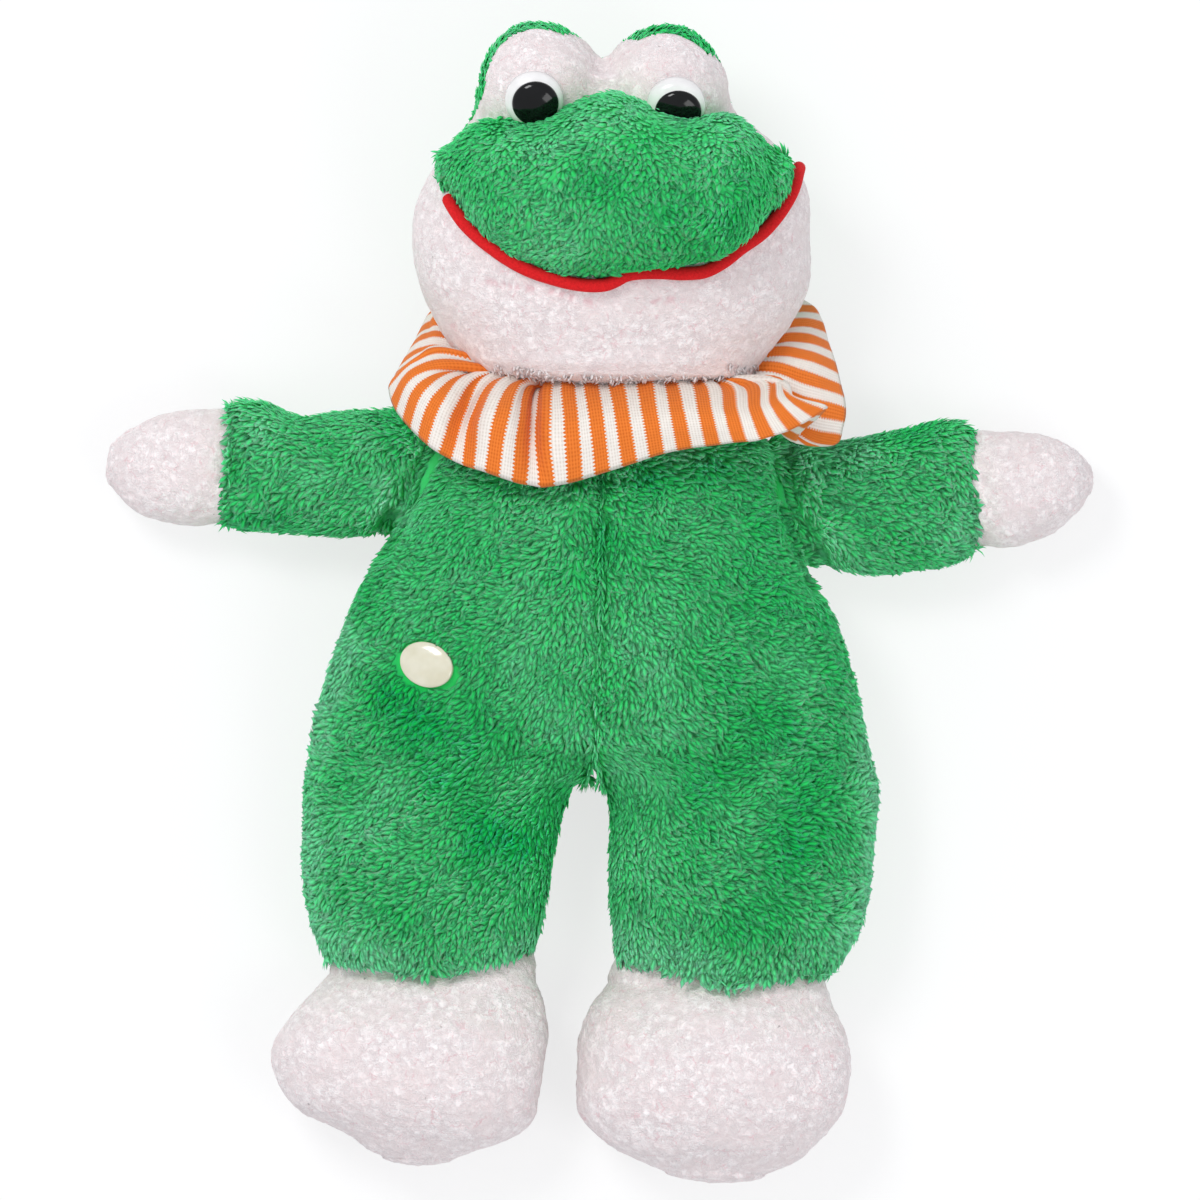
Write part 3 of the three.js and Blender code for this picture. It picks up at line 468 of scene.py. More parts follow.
def newMaterial(name, finish):
    # an empty node material with a Principled shader that carries the plain values of the finish
    material = bpy.data.materials.new(name)
    material.use_nodes = True
    material.node_tree.nodes.clear()
    add = partial(addNode, material)
    shader = add("BsdfPrincipled", finish)
    add("OutputMaterial", {"Surface": shader})
    return material, shader, add


def mottledMaterial(name, finish, noise, stops, relief):
    # a smooth or brushed surface whose one noise gives both the faint mottling of its colour and its relief
    material, shader, add = newMaterial(name, finish)
    cloud = add("TexNoise", {"Vector": add("TexCoord").outputs["Object"], **noise})
    setUp(shader, {"Base Color": add("ValToRGB", {"Fac": cloud, "stops": stops}),
                   "Normal": add("Bump", {"Height": cloud, **relief})})
    return material


def pileMaterial(name, look):
    # curly polyester pile: matte soft locks that let light through, paler at the tips, lighter and darker in broad
    # random patches
    material, shader, add = newMaterial(name, {
        "Roughness": 0.9, "Sheen Weight": 0.06, "Sheen Roughness": 0.5, "Sheen Tint": look["sheen"],
        "Specular IOR Level": 0.05, "Subsurface Weight": 0.8, "Subsurface Scale": look["scatter"],
        "Subsurface Radius": (0.5, 1.0, 0.7)})
    randomPatches = add("TexNoise", {"Vector": add("TexCoord").outputs["Object"], "Scale": 1 / look["patch"], "Detail": 3.0,
                            "Roughness": 0.6})
    shift = add("MapRange", {"Value": randomPatches, "From Min": 0.3, "From Max": 0.7, "To Min": -0.35, "To Max": 0.35})
    tone = add("Attribute", {"attribute_name": "tone"}).outputs["Fac"]
    level = add("Math", {"operation": "ADD", 0: tone, 1: shift})
    setUp(shader, {"Base Color": add("ValToRGB", {"Fac": level, "stops": look["stops"]})})
    return material


greenLook = {
    "sheen": "#A6E6BA", "patch": 38 * mm,
    "scatter": 2.0 * mm,     # how far light passes through the pile, which keeps the gaps between the locks pale
    "stops": [(0.0, "#12B64E"), (0.35, "#2EC762"), (0.7, "#48D778"), (1.0, "#64E590")],
}
greenPile = pileMaterial("green polyester pile", greenLook)

fleeceLook = {
    "scatter": 0.8 * mm,     # how far light passes through the matted fibres
    "crest": "#F9F1F0",      # matted fibre ends
    # painted shade: the darker colour that the hollows between the curds take
    "hollowShade": "#DFD3D3",     # between the clumps
    "pinkish": "#EBDEDD",    # areas where the backing tints the pile
    "crack": "#DFB0B6",      # the pink backing itself, in cracks and at the stitches
    "speck": "#8A7C7A",      # dust caught in the pile
    "clump": 2.8 * mm, "curl": 1.5 * mm, "patch": 12 * mm,
    "warp": 2.2 * mm, "warpReach": 2.6 * mm,          # bends the clumps' and cracks' outlines
    "crackSpacing": 5.5 * mm, "crackBreak": 4 * mm,
    "crackWidth": 0.05,      # as a share of the spacing
    "speckSpacing": 12 * mm, "speckSize": 0.4 * mm,
}


def fleeceMaterial(name, look):
    # shorn polyester fleece matted by wear: pale curds with a pink cast between them and painted shade in their
    # hollows, fine broken cracks, a little dust
    material, shader, add = newMaterial(name, {
        "Roughness": 0.9, "Sheen Weight": 0.2, "Sheen Roughness": 0.6, "Sheen Tint": "#FFF8F6",
        "Specular IOR Level": 0.1, "Subsurface Weight": 0.3, "Subsurface Scale": look["scatter"],
        "Subsurface Radius": (1.0, 0.8, 0.8)})
    at = add("TexCoord").outputs["Object"]
    warp = add("TexNoise", {"Vector": at, "Scale": 1 / look["warp"], "Detail": 3.0, "Roughness": 0.6})
    bent = add("VectorMath", {"operation": "MULTIPLY_ADD", 0: warp.outputs["Color"], 1: (look["warpReach"],) * 3,
                              2: at})
    curds = add("TexVoronoi", {"feature": "SMOOTH_F1", "Vector": bent, "Scale": 1 / look["clump"], "Smoothness": 0.8})
    curls = add("TexNoise", {"Vector": at, "Scale": 1 / look["curl"], "Detail": 2.0, "Roughness": 0.6,
                             "Distortion": 1.8})
    low = add("MapRange", {"Value": curds, "From Min": 0.1, "From Max": 0.9})
    uneven = add("MapRange", {"Value": curls, "From Min": 0.35, "From Max": 0.65, "To Min": -0.4, "To Max": 0.4})
    depth = add("Math", {"operation": "ADD", "use_clamp": True, 0: low, 1: uneven})
    # where depth is high the bump sinks the surface, and the colour goes to the darker one there: painted shade in the
    # hollows
    body = add("Mix", {"data_type": "RGBA", 0: depth, 6: look["crest"], 7: look["hollowShade"]})
    patches = add("TexNoise", {"Vector": at, "Scale": 1 / look["patch"], "Detail": 3.0})
    cast = add("MapRange", {"Value": patches, "From Min": 0.42, "From Max": 0.65, "To Max": 0.7})
    warm = add("Mix", {"data_type": "RGBA", 0: cast, 6: body, 7: look["pinkish"]})
    cracks = add("TexVoronoi", {"feature": "DISTANCE_TO_EDGE", "Vector": bent, "Scale": 1 / look["crackSpacing"]})
    broken = add("TexNoise", {"Vector": at, "Scale": 1 / look["crackBreak"], "Detail": 2.0})
    torn = add("MapRange", {"Value": broken, "From Min": 0.51, "From Max": 0.66, "To Max": 0.6})
    line = add("MapRange", {"Value": cracks, "From Max": look["crackWidth"], "To Min": 1.0, "To Max": 0.0})
    crack = add("Math", {"operation": "MULTIPLY", 0: line, 1: torn})
    pucker = add("Attribute", {"attribute_name": "tone"}).outputs["Fac"]
    pink = add("Math", {"operation": "MAXIMUM", 0: crack, 1: pucker})
    pinked = add("Mix", {"data_type": "RGBA", 0: pink, 6: warm, 7: look["crack"]})
    dust = add("TexVoronoi", {"Vector": bent, "Scale": 1 / look["speckSpacing"]})
    size = look["speckSize"] / look["speckSpacing"]
    speck = add("MapRange", {"Value": dust, "From Min": size * 0.5, "From Max": size * 1.4, "To Min": 0.7,
                             "To Max": 0.0})
    final = add("Mix", {"data_type": "RGBA", 0: speck, 6: pinked, 7: look["speck"]})
    bump = add("Bump", {"invert": True, "Height": depth, "Strength": 0.6, "Distance": 0.8 * mm})
    setUp(shader, {"Base Color": final, "Normal": bump})
    return material


paleFleece = fleeceMaterial("pale pink fleece", fleeceLook)
print("pile and fleece materials made")


nap = {
    "seam": [[604, 300], [600, 640], [588, 900]],   # the centre seam, in pixels
    "fan": 1.3,              # how far the nap turns from down to outward, in radians
    "reach": 170,            # pixels from the seam at which it has turned
    "least": 0.16,           # the share of that turn that it has right at the seam
    "ankleRows": [880, 960], # rows over which it turns down again
    "swirl": 0.5, "swirlSize": 22 * mm,             # slow wandering of the nap, in radians
    "wave": 0.75, "waveSize": 5.5 * mm,             # the curl that neighbouring locks share
}


def seamColumn(rows):
    # the seam's column at each pixel row, in straight pieces
    line = np.array(nap["seam"], float)
    return np.interp(rows, line[:, 1], line[:, 0])


def wandering(ways, points, seed):
    # turns directions about z by the sum of two soft noises, the slow swirl and the curl of neighbours
    angle = nap["swirl"] * softNoise(points, nap["swirlSize"], seed)
    angle = angle + nap["wave"] * softNoise(points, nap["waveSize"], seed + 1)
    c, s = np.cos(angle), np.sin(angle)
    return np.stack([ways[:, 0] * c - ways[:, 1] * s, ways[:, 0] * s + ways[:, 1] * c, ways[:, 2]], -1)


greenLocks = {
    "area": 1.8 * mm * mm,
    "length": 5.4 * mm, "lengthSpread": 0.3,
    "width": 1.8 * mm, "ridge": 0.22,
    "lean": 0.56, "lay": -0.02, "curl": 1.3, "curlSize": 5 * mm, "scatter": 0.25,
    "ringShares": [0.0, 0.66], "ringWidths": [0.85, 1.0],    # places along a lock of its three-cornered rings
    "sunk": 0.5 * mm,        # how deep a lock starts in the cloth
    "toneBase": 0.42, "toneRise": 0.16, "toneSpread": 0.14,
}
fleeceLocks = {
    "area": 3.5 * mm * mm,
    "length": 2.4 * mm, "lengthSpread": 0.5,
    "width": 1.1 * mm, "ridge": 0.25,
    "lean": 0.9, "lay": 0.35, "curl": 1.0, "curlSize": 4 * mm, "scatter": 1.2,
    "ringShares": [0.0, 0.6], "ringWidths": [0.9, 1.0],
    "sunk": 0.3 * mm,
    "toneBase": 0.0, "toneRise": 0.0, "toneSpread": 0.0,
}
skinTone = 0.5
pileReach = 2.1 * mm         # how far the locks stand off the cloth


def covered(skin, locks, ways, keep, seed):
    # a skin with its locks; ways gives the nap's direction at each root
    roots, facing = lockRoots(skin, locks["area"], keep, seed)
    return joined((*skin, np.full(len(skin[0]), skinTone)), lockMesh(roots, facing, ways(roots), locks, seed + 1))


# The romper is two halves that meet at the centre seam, each from the shoulder to the ankle.
romper = {
    "spacing": 1.75 * mm, "around": 124,
    "torsoDepth": 76 * mm, "torsoArch": 0.45,       # arch: the power of its cross-section, 0.5 is an ellipse
    "legDepth": 58 * mm, "legFullness": 0.85,
    "neckTip": [606, 399],
    # row, torso left, torso right, back share, front share
    "torso": [[415, 476, 736, 0.14, 0.62], [440, 440, 774, 0.03, 0.77], [494, 408, 795, 0, 0.92],
              [558, 370, 816, 0, 0.98], [620, 341, 845, 0, 1.0], [700, 314, 866, 0, 0.97],
              [766, 303, 878, 0, 0.9], [800, 302, 880, 0, 0.86]],
    # row, outer edge, inner edge, front share of the leg's depth
    "legs": {
        "left": [[768, 302, 588, 1.0], [790, 301, 581, 1.0], [810, 301, 573, 1.0], [850, 299, 563, 1.0],
                 [900, 301, 553, 0.97], [930, 307, 547, 0.94], [950, 313, 541, 0.91], [962, 318, 537, 0.88]],
        "right": [[768, 880, 588, 1.0], [790, 881, 595, 1.0], [810, 880, 599, 1.0], [850, 877, 602, 1.0],
                  [900, 871, 604, 0.97], [940, 861, 608, 0.93], [960, 850, 610, 0.9], [974, 838, 612, 0.88]]},
    # column and shift in rows of the trouser end
    "hems": {"left": [[318, -4], [370, 4], [422, 10], [480, 3], [538, -14]],
             "right": [[612, -18], [655, -12], [695, 3], [734, 12], [768, 4], [838, 0]]},
    "hemRows": [880, 965],   # rows over which the shift sets in
    "ankleTips": {"left": [430, 972], "right": [722, 986]},
    "split": [738, 812],     # rows over which the body becomes two legs
    "legFrom": 768, "innerLegFrom": 786,            # rows from which the legs' own edges hold
    "wallRows": [748, 790],  # rows over which the halves come apart
    "bareWall": [2.5, 760],  # pixels from the seam and row up to which the hidden walls have no locks
    "bareAbove": 402,
    "bareBadge": [33, 27], "badgeShift": [4, -2],   # half axes and shift of the oval without locks under the badge
    "crotch": [588, 790], "bareCrotch": 11,
    "seamDip": 1.6 * mm, "seamWidth": 4 * mm,       # how deep and wide the centre seam lies in the stuffing
    "wallReach": [1.5 * mm, 7 * mm],                # from the seam, over which the halves' walls swell freely again
    "dents": 1.2 * mm, "dentSize": 34 * mm,
}
creases = [
    {"line": [[432, 440], [384, 540]], "depth": 5 * mm, "width": 4.5 * mm},              # left armhole
    {"line": [[782, 446], [794, 509], [822, 572]], "depth": 5 * mm, "width": 4.5 * mm},  # right armhole
    {"line": [[412, 842], [470, 800], [512, 752]], "depth": 2.6 * mm, "width": 8 * mm},  # left groin
    {"line": [[738, 764], [762, 705], [802, 655]], "depth": 2.4 * mm, "width": 9 * mm},  # right groin
]


def romperSkin(side):
    # row by row a loop: front from the outer edge to the seam or inner leg, back again behind.
    # Height is the whole body's oval above the legs, each leg's own oval below, mixed over the split
    body = np.array(romper["torso"], float)
    leg, hem = np.array(romper["legs"][side], float), np.array(romper["hems"][side], float)
    lastRow = leg[-1, 0]
    rows = np.linspace(body[0, 0], lastRow, int((lastRow - body[0, 0]) * photo["pixelSize"] / romper["spacing"]))
    bodyAt = curveThrough(body[:, 0], body[:, 1:], np.minimum(rows, body[-1, 0]))
    legAt = curveThrough(leg[:, 0], leg[:, 1:], np.clip(rows, leg[0, 0], lastRow))
    outer = np.where(rows > romper["legFrom"], legAt[:, 0], bodyAt[:, 0 if side == "left" else 1])
    inner = np.where(rows > romper["innerLegFrom"], legAt[:, 1], seamColumn(rows))
    split = smoothStep(*romper["split"], rows)[:, None]
    turn = turnsOf(romper["around"])
    columns = outer[:, None] + (inner - outer)[:, None] * (1 - np.cos(turn))[None] / 2
    middle, half = (bodyAt[:, 0] + bodyAt[:, 1]) / 2, (bodyAt[:, 1] - bodyAt[:, 0]) / 2
    arch = (1 - np.clip((columns - middle[:, None]) / half[:, None], -1, 1) ** 2) ** romper["torsoArch"]
    above = np.sin(turn)[None] >= 0
    frontDeep, backDeep = bodyAt[:, 3:4] * romper["torsoDepth"], bodyAt[:, 2:3] * romper["torsoDepth"]
    mid, deep = (frontDeep + backDeep) / 2, (frontDeep - backDeep) / 2
    legDeep = legAt[:, 2:3] * romper["legDepth"] / 2
    legHigh = legDeep + legDeep * signedPower(np.sin(turn), romper["legFullness"])
    fromSeam = (columns - inner[:, None]) * photo["pixelSize"]
    dip = romper["seamDip"] * np.exp(-(fromSeam / romper["seamWidth"]) ** 2) * (1 - split) * above
    high = (mid + np.where(above, 1, -1) * deep * arch) * (1 - split) + legHigh * split - dip
    sag = np.interp(columns, hem[:, 0], hem[:, 1]) * smoothStep(*romper["hemRows"], rows)[:, None]
    flat = place(np.stack([columns, rows[:, None] + sag], -1))
    grid = np.dstack([flat, np.maximum(high, floorGap)])
    tips = [np.append(place(romper["neckTip"]), mid[0, 0]),
            np.append(place(romper["ankleTips"][side]), legDeep[-1, 0])]
    caps = []
    for row, tip, steps in ((grid[0], tips[0], 6), (grid[-1], tips[1], 7)):
        turnTo = (np.arange(1, steps + 1) / (steps + 1) * math.pi / 2)[:, None, None]
        centre = np.array([row[:, 0].mean(), row[:, 1].mean(), tip[2]])
        caps.append(centre + (tip - centre) * np.sin(turnTo) + (row[None] - centre) * np.cos(turnTo))
    return closedGrid(np.concatenate([caps[0][::-1], grid, caps[1]]), *tips)


def romperNap(points):
    # down at the seam, fanning outwards with distance, down again at the ankles
    pixels = toPixels(points)
    offset = (pixels[:, 0] - seamColumn(pixels[:, 1])) / nap["reach"]
    share = np.sign(offset) * np.clip(np.abs(offset), nap["least"], 1) ** 0.8
    angle = share * nap["fan"] * (1 - smoothStep(*nap["ankleRows"], pixels[:, 1]))
    return wandering(np.stack([np.sin(angle), -np.cos(angle), 0 * angle], -1), points, 5)


def metAtSeam(skin, before, edge):
    # the wall that each half has at the centre seam goes back to the seam, so that the halves touch there
    points, triangles = skin
    pixels = toPixels(before)
    fromSeam = (seamColumn(pixels[:, 1]) - pixels[:, 0]) * photo["pixelSize"] * edge
    share = (1 - smoothStep(*romper["wallReach"], fromSeam)) * (1 - smoothStep(*romper["wallRows"], pixels[:, 1]))
    at = points.copy()
    at[:, 0] = points[:, 0] + (before[:, 0] - points[:, 0]) * share
    return at, triangles


def makeRomper(side):
    # the skin, creased and stuffed, with no locks on the wall at the centre seam, under the badge or above the neck
    outline = romperSkin(side)
    edge = 1 if side == "left" else -1
    skin = creased(dented(inward(outline, pileReach), romper["dents"], romper["dentSize"], 3), creases)
    skin = metAtSeam(stuffed(skin), outline[0], edge)

    def keep(roots, facing):
        pixels = toPixels(roots)
        fromSeam = (seamColumn(pixels[:, 1]) - pixels[:, 0]) * edge
        reach, lowest = romper["bareWall"]
        wall = (facing[:, 0] * edge > 0.8) & (fromSeam < reach) & (pixels[:, 1] < lowest)
        c, s = math.cos(badge["turn"]), math.sin(badge["turn"])
        off = (pixels - badge["at"] - romper["badgeShift"]) * [1, -1]
        off = np.column_stack([off[:, 0] * c + off[:, 1] * s, off[:, 1] * c - off[:, 0] * s]) / romper["bareBadge"]
        under = ((off ** 2).sum(1) < 1) & (facing[:, 2] > 0)
        crotch = (np.linalg.norm(pixels - romper["crotch"], axis=1) < romper["bareCrotch"]) & (facing[:, 1] < -0.2)
        return ~wall & ~crotch & ~under & (pixels[:, 1] > romper["bareAbove"])

    piece = covered(skin, greenLocks, romperNap, keep, 11 if side == "left" else 13)
    print("romper", side, len(piece[1]), "triangles")
    # the locks' tone carries the painted light and shade of brushed
    return addPiece("romper_" + side, *piece[:2], greenPile, brushed(piece[0], piece[2]))


# soft lines in pixels along which the pile's tone is lowered or raised: painted shade where the tone is negative (the
# groin creases, under the ruff) and painted light where it is positive (the outer sides, the trouser ends, the
# shoulders, beside the seam)
paintedLightAndShade = [
    {"line": [[402, 700], [442, 765], [462, 812], [515, 850]], "width": 36, "tone": -0.5},     # left groin
    {"line": [[480, 705], [520, 735]], "width": 30, "tone": -0.25},
    {"line": [[786, 725], [802, 760], [798, 835]], "width": 30, "tone": -0.45},                # right groin
    {"line": [[650, 482], [712, 470]], "width": 20, "tone": -0.5},                             # under the ruff
    {"line": [[635, 650], [665, 705]], "width": 40, "tone": 0.25},                             # beside the seam
    {"line": [[342, 640], [318, 700], [306, 800], [304, 890], [318, 960]], "width": 22, "tone": 0.6},
    {"line": [[862, 720], [876, 810], [870, 900], [845, 965]], "width": 17, "tone": 0.5},      # outer sides
    {"line": [[330, 965], [430, 972], [530, 958]], "width": 30, "tone": 0.45},                 # trouser ends
    {"line": [[620, 960], [720, 980], [830, 965]], "width": 34, "tone": 0.5},
    {"line": [[785, 448], [862, 446]], "width": 24, "tone": 0.5},                              # shoulders
    {"line": [[352, 420], [392, 512]], "width": 20, "tone": 0.3},
]


def brushed(points, tone):
    # painted light and shade in the tone: tone + sum of a stroke's tone * exp(-(distance / width)^2)
    pixels = toPixels(points)
    change = sum(stroke["tone"] * np.exp(-(lineDistance(pixels, stroke["line"]) / stroke["width"]) ** 2)
                 for stroke in paintedLightAndShade)
    return np.clip(tone + change, 0, 1)


badge = {
    "at": [428, 664.5], "halfLong": 9.7 * mm, "halfShort": 7.6 * mm,
    "edge": 1.2 * mm, "dome": 1.6 * mm, "turn": math.radians(-20),
}
romperPieces = {side: makeRomper(side) for side in ("left", "right")}


sleeves = {
    "spacing": 1.7 * mm,
    "depth": 44 * mm,
    # two edge points of each rib, back share, front share
    "left": [[440, 410, 384, 536, 0.1, 1.05], [392, 405, 366, 539, 0.05, 1.03], [350, 407, 338, 540, 0, 1],
             [304, 412, 298, 538, 0, 0.98], [262, 399, 258, 534, 0, 0.96], [240, 397, 234, 530, 0, 0.9],
             [230, 403, 223, 526, 0.02, 0.84]],
    "right": [[776, 432, 819, 568, 0.1, 1.05], [816, 438, 842, 573, 0.05, 1.03], [860, 434, 872, 577, 0, 1],
              [906, 425, 912, 573, 0, 0.98], [942, 418, 948, 566, 0, 0.96], [962, 419, 969, 557, 0, 0.9],
              [972, 425, 979, 550, 0.02, 0.84]],
    "rootReach": 20 * mm, "cuffReach": 1.2 * mm,
    "mouths": {"left": 236, "right": 966},          # columns beyond which the cuff's mouth carries no pile
    "dents": 1.1 * mm, "dentSize": 26 * mm,
}


def makeSleeve(side):
    # an oval limb whose root lies in the body; locks lie towards the cuff and down
    sign = -1 if side == "left" else 1
    ribs = ribsFrom(sleeves[side], sleeves["depth"])
    skin = ovalSkin(ribs, *limbTips(ribs, sleeves["rootReach"], sleeves["cuffReach"]), sleeves["spacing"])
    skin = dented(inward(skin, pileReach), sleeves["dents"], sleeves["dentSize"], 9)
    skin = stuffed(creased(skin, creases[:2]))

    def keep(roots, facing):
        pixels = toPixels(roots)
        seam = np.interp(pixels[:, 1], *np.array(sleeves[side][0])[[[1, 3], [0, 2]]])
        mouth = (facing[:, 0] * sign > 0.9) & ((pixels[:, 0] - sleeves["mouths"][side]) * sign > 0)
        return ((pixels[:, 0] - seam) * sign > -14) & ~mouth

    def ways(roots):
        return wandering(np.tile([sign * 0.8, -0.6, 0.0], (len(roots), 1)), roots, 15)

    piece = covered(skin, greenLocks, ways, keep, 31)
    # the locks' tone carries the painted light and shade of brushed
    return addPiece("sleeve_pile_" + side, *piece[:2], greenPile, brushed(piece[0], piece[2]))


sleevePieces = {side: makeSleeve(side) for side in ("left", "right")}
print("sleeves made")


ends = {
    "spacing": 1.1 * mm,
    "inset": 0.3 * mm,
    "lump": 5 * mm, "lumpHeight": 0.5 * mm,
    "curd": 3 * mm, "curdHeight": 0.35 * mm,
    "wrinkle": 0.8 * mm, "wrinkleSize": 5.5 * mm, "wrinkleReach": 14 * mm,   # across the limb, below the cuff
    "dents": 1.3 * mm, "dentSize": 20 * mm,
    # two edge points of each rib, back share, front share
    "hand_left": {
        "ribs": [[236, 410, 235, 520, 0.02, 0.96], [206, 411, 208, 523, 0, 1], [176, 413, 180, 523, 0, 1],
                 [156, 416, 156, 519, 0, 0.97], [138, 421, 138, 510, 0.01, 0.9], [124, 429, 124, 499, 0.05, 0.8],
                 [112, 440, 112, 484, 0.12, 0.64]],
        "depth": 36 * mm, "tip": [105, 461], "reachBack": 16 * mm},
    "hand_right": {
        "ribs": [[966, 434, 974, 543, 0.02, 0.96], [1000, 431, 1004, 547, 0, 1], [1030, 432, 1032, 541, 0, 1],
                 [1050, 435, 1052, 532, 0, 0.97], [1068, 441, 1069, 520, 0.01, 0.9], [1082, 453, 1083, 507, 0.05, 0.8],
                 [1090, 464, 1090, 496, 0.12, 0.64]],
        "depth": 36 * mm, "tip": [1095, 481], "reachBack": 16 * mm},
    "foot_left": {
        "ribs": [[330, 974, 535, 972, 0.02, 0.8], [308, 1000, 543, 1000, 0, 0.88], [279, 1034, 547, 1032, 0, 0.98],
                 [272, 1054, 546, 1054, 0, 1], [279, 1080, 543, 1080, 0, 1], [294, 1102, 539, 1100, 0, 0.97],
                 [324, 1121, 534, 1119, 0.01, 0.9], [353, 1138, 518, 1138, 0.05, 0.8],
                 [366, 1150, 489, 1150, 0.12, 0.68], [380, 1158, 458, 1158, 0.18, 0.58]],
        "depth": 54 * mm, "tip": [414, 1165], "reachBack": 18 * mm},
    "foot_right": {
        "ribs": [[611, 984, 826, 986, 0.02, 0.8], [592, 1006, 832, 1006, 0, 0.88], [579, 1040, 848, 1040, 0, 0.98],
                 [578, 1066, 851, 1066, 0, 1], [577, 1092, 849, 1092, 0, 1], [579, 1112, 845, 1112, 0, 0.97],
                 [594, 1131, 832, 1131, 0.02, 0.9], [611, 1147, 815, 1147, 0.06, 0.82],
                 [640, 1162, 795, 1162, 0.12, 0.68], [664, 1173, 764, 1173, 0.18, 0.58]],
        "depth": 54 * mm, "tip": [714, 1182], "reachBack": 20 * mm},
}


def makeEnd(name, seed):
    # a stuffed fleece hand or foot whose start lies in its sleeve or trouser end, wrinkled there:
    # wrinkle * noise * exp(-distance / reach)
    one = ends[name]
    ribs = ribsFrom(one["ribs"], one["depth"])
    skin = ovalSkin(ribs, limbTips(ribs, one["reachBack"], 0)[0], place(one["tip"]), ends["spacing"])
    skin = stuffed(dented(inward(skin, ends["inset"]), ends["dents"], ends["dentSize"], seed))
    skin = lumpy(skin, ends["lump"], ends["lumpHeight"], seed)
    points, triangles = lumpy(skin, ends["curd"], ends["curdHeight"], seed + 1)
    start = middleOf(ribs[0])
    way = unit(place(one["tip"]) - start)
    along, across = (points[:, :2] - start) @ way, (points[:, :2] - start) @ [-way[1], way[0]]
    folds = softNoise(np.column_stack([along, across * 0.3, points[:, 2] * 0.3]), ends["wrinkleSize"], seed + 2)
    sink = ends["wrinkle"] * folds * np.exp(-np.maximum(along, 0) / ends["wrinkleReach"])
    points = points + normalsOf(points, triangles) * sink[:, None]
    return addPiece(name.replace("_", "_fleece_"), points, triangles, paleFleece, np.zeros(len(points)))


endPieces = {name: makeEnd(name, 40 + 2 * i)
             for i, name in enumerate(("hand_left", "hand_right", "foot_left", "foot_right"))}
print("hands and feet made")


# The head is one skull form with two eye bumps, and the panels over it.
headForm = {
    "depth": 92 * mm,
    # row, left edge, right edge, back share, front share; no width at the ends
    "rows": [[62, 602, 602, 0.5, 0.6], [70, 524, 680, 0.36, 0.78], [90, 474, 726, 0.22, 0.86],
             [112, 464, 744, 0.12, 0.9], [134, 450, 771, 0.05, 0.93], [186, 418, 811, 0, 0.99],
             [240, 409, 813, 0, 1.0], [290, 418, 811, 0, 0.97], [326, 434, 794, 0, 0.92], [352, 451, 774, 0.02, 0.88],
             [370, 469, 759, 0.08, 0.85], [382, 494, 746, 0.15, 0.79], [390, 625, 625, 0.3, 0.66]],
    "bumps": [{"at": [540, 93], "across": 69, "along": 75}, {"at": [665, 97], "across": 70, "along": 76}],
    "bumpHeight": 58 * mm, "bumpHalfDepth": 32 * mm,
    "melt": 5 * mm,          # how wide the bumps run into the skull
    "ovalScale": 40 * mm, "ballScale": 26 * mm,     # which turn both forms' relative distances into lengths
    "core": [611, 215], "coreHeight": 45 * mm,
    "rings": 150, "spokes": 236,
    "dents": 0.7 * mm, "dentSize": 30 * mm,
    "jawHeight": 42 * mm, "jawSlope": 0.18, "cornerRow": 155,
    # column and height of the eye panel's edge, which drops in the notch and at the right
    "rim": [[460, 74], [566, 74], [584, 62], [603, 55], [620, 62], [637, 74], [708, 74], [724, 64], [745, 57]],
    "rimDrop": 20 * mm, "rimDropRows": [92, 124],   # the edge drops again beside the snout
    "panelWall": 1.8 * mm, "panelInset": 0.8 * mm,
    "fringeRow": 364,        # below it the jaw's pile stands out over the ruff
    "pucker": [[488, 283], [510, 289], [545, 291], [575, 300], [604, 307], [640, 305], [680, 300]],
    "puckerGap": 13, "puckerShare": 0.5,            # pixels from one stitch to the next, share that is pulled in
    "puckerWander": 14, "puckerPink": 0.6,
    "stitchDepth": 0.5 * mm, "stitchWidth": 1.1 * mm, "troughDepth": 0.7 * mm, "troughWidth": 4 * mm,
    "nearest": 5 * mm, "farthest": 140 * mm, "halvings": 22,     # where a ray from the core may meet the skull
}


def headWidths(rows):
    # squared half widths and half depths, so that they close like an oval at the ends
    table = np.array(headForm["rows"], float)
    middle = curveThrough(table[:, 0], (table[:, 1] + table[:, 2]) / 2, rows)
    half = np.sqrt(np.maximum(curveThrough(table[:, 0], ((table[:, 2] - table[:, 1]) / 2) ** 2, rows), 1e-4))
    back, front = (curveThrough(table[:, 0], table[:, i], rows) * headForm["depth"] for i in (3, 4))
    return middle, half, (back + front) / 2, np.maximum((front - back) / 2, 0.1 * mm)


def headDistance(points):
    # distance-like value, negative inside: the skull's oval sections and the bumps' ellipsoids, melted together
    pixels = toPixels(points)
    first, last = headForm["rows"][0][0], headForm["rows"][-1][0]
    middle, half, mid, deep = headWidths(np.clip(pixels[:, 1], first, last))
    outside = np.maximum(first - pixels[:, 1], pixels[:, 1] - last) * photo["pixelSize"]
    oval = np.sqrt(((pixels[:, 0] - middle) / half) ** 2 + ((points[:, 2] - mid) / deep) ** 2)
    value = np.maximum((oval - 1) * headForm["ovalScale"], outside)
    for bump in headForm["bumps"]:
        at = (pixels - np.array(bump["at"])) / np.array([bump["across"], bump["along"]])
        up = (points[:, 2] - headForm["bumpHeight"]) / headForm["bumpHalfDepth"]
        ball = (np.sqrt((at ** 2).sum(1) + up ** 2) - 1) * headForm["ballScale"]
        mixed = np.clip(0.5 + (value - ball) / (2 * headForm["melt"]), 0, 1)
        value = value + (ball - value) * mixed - headForm["melt"] * mixed * (1 - mixed)
    return value


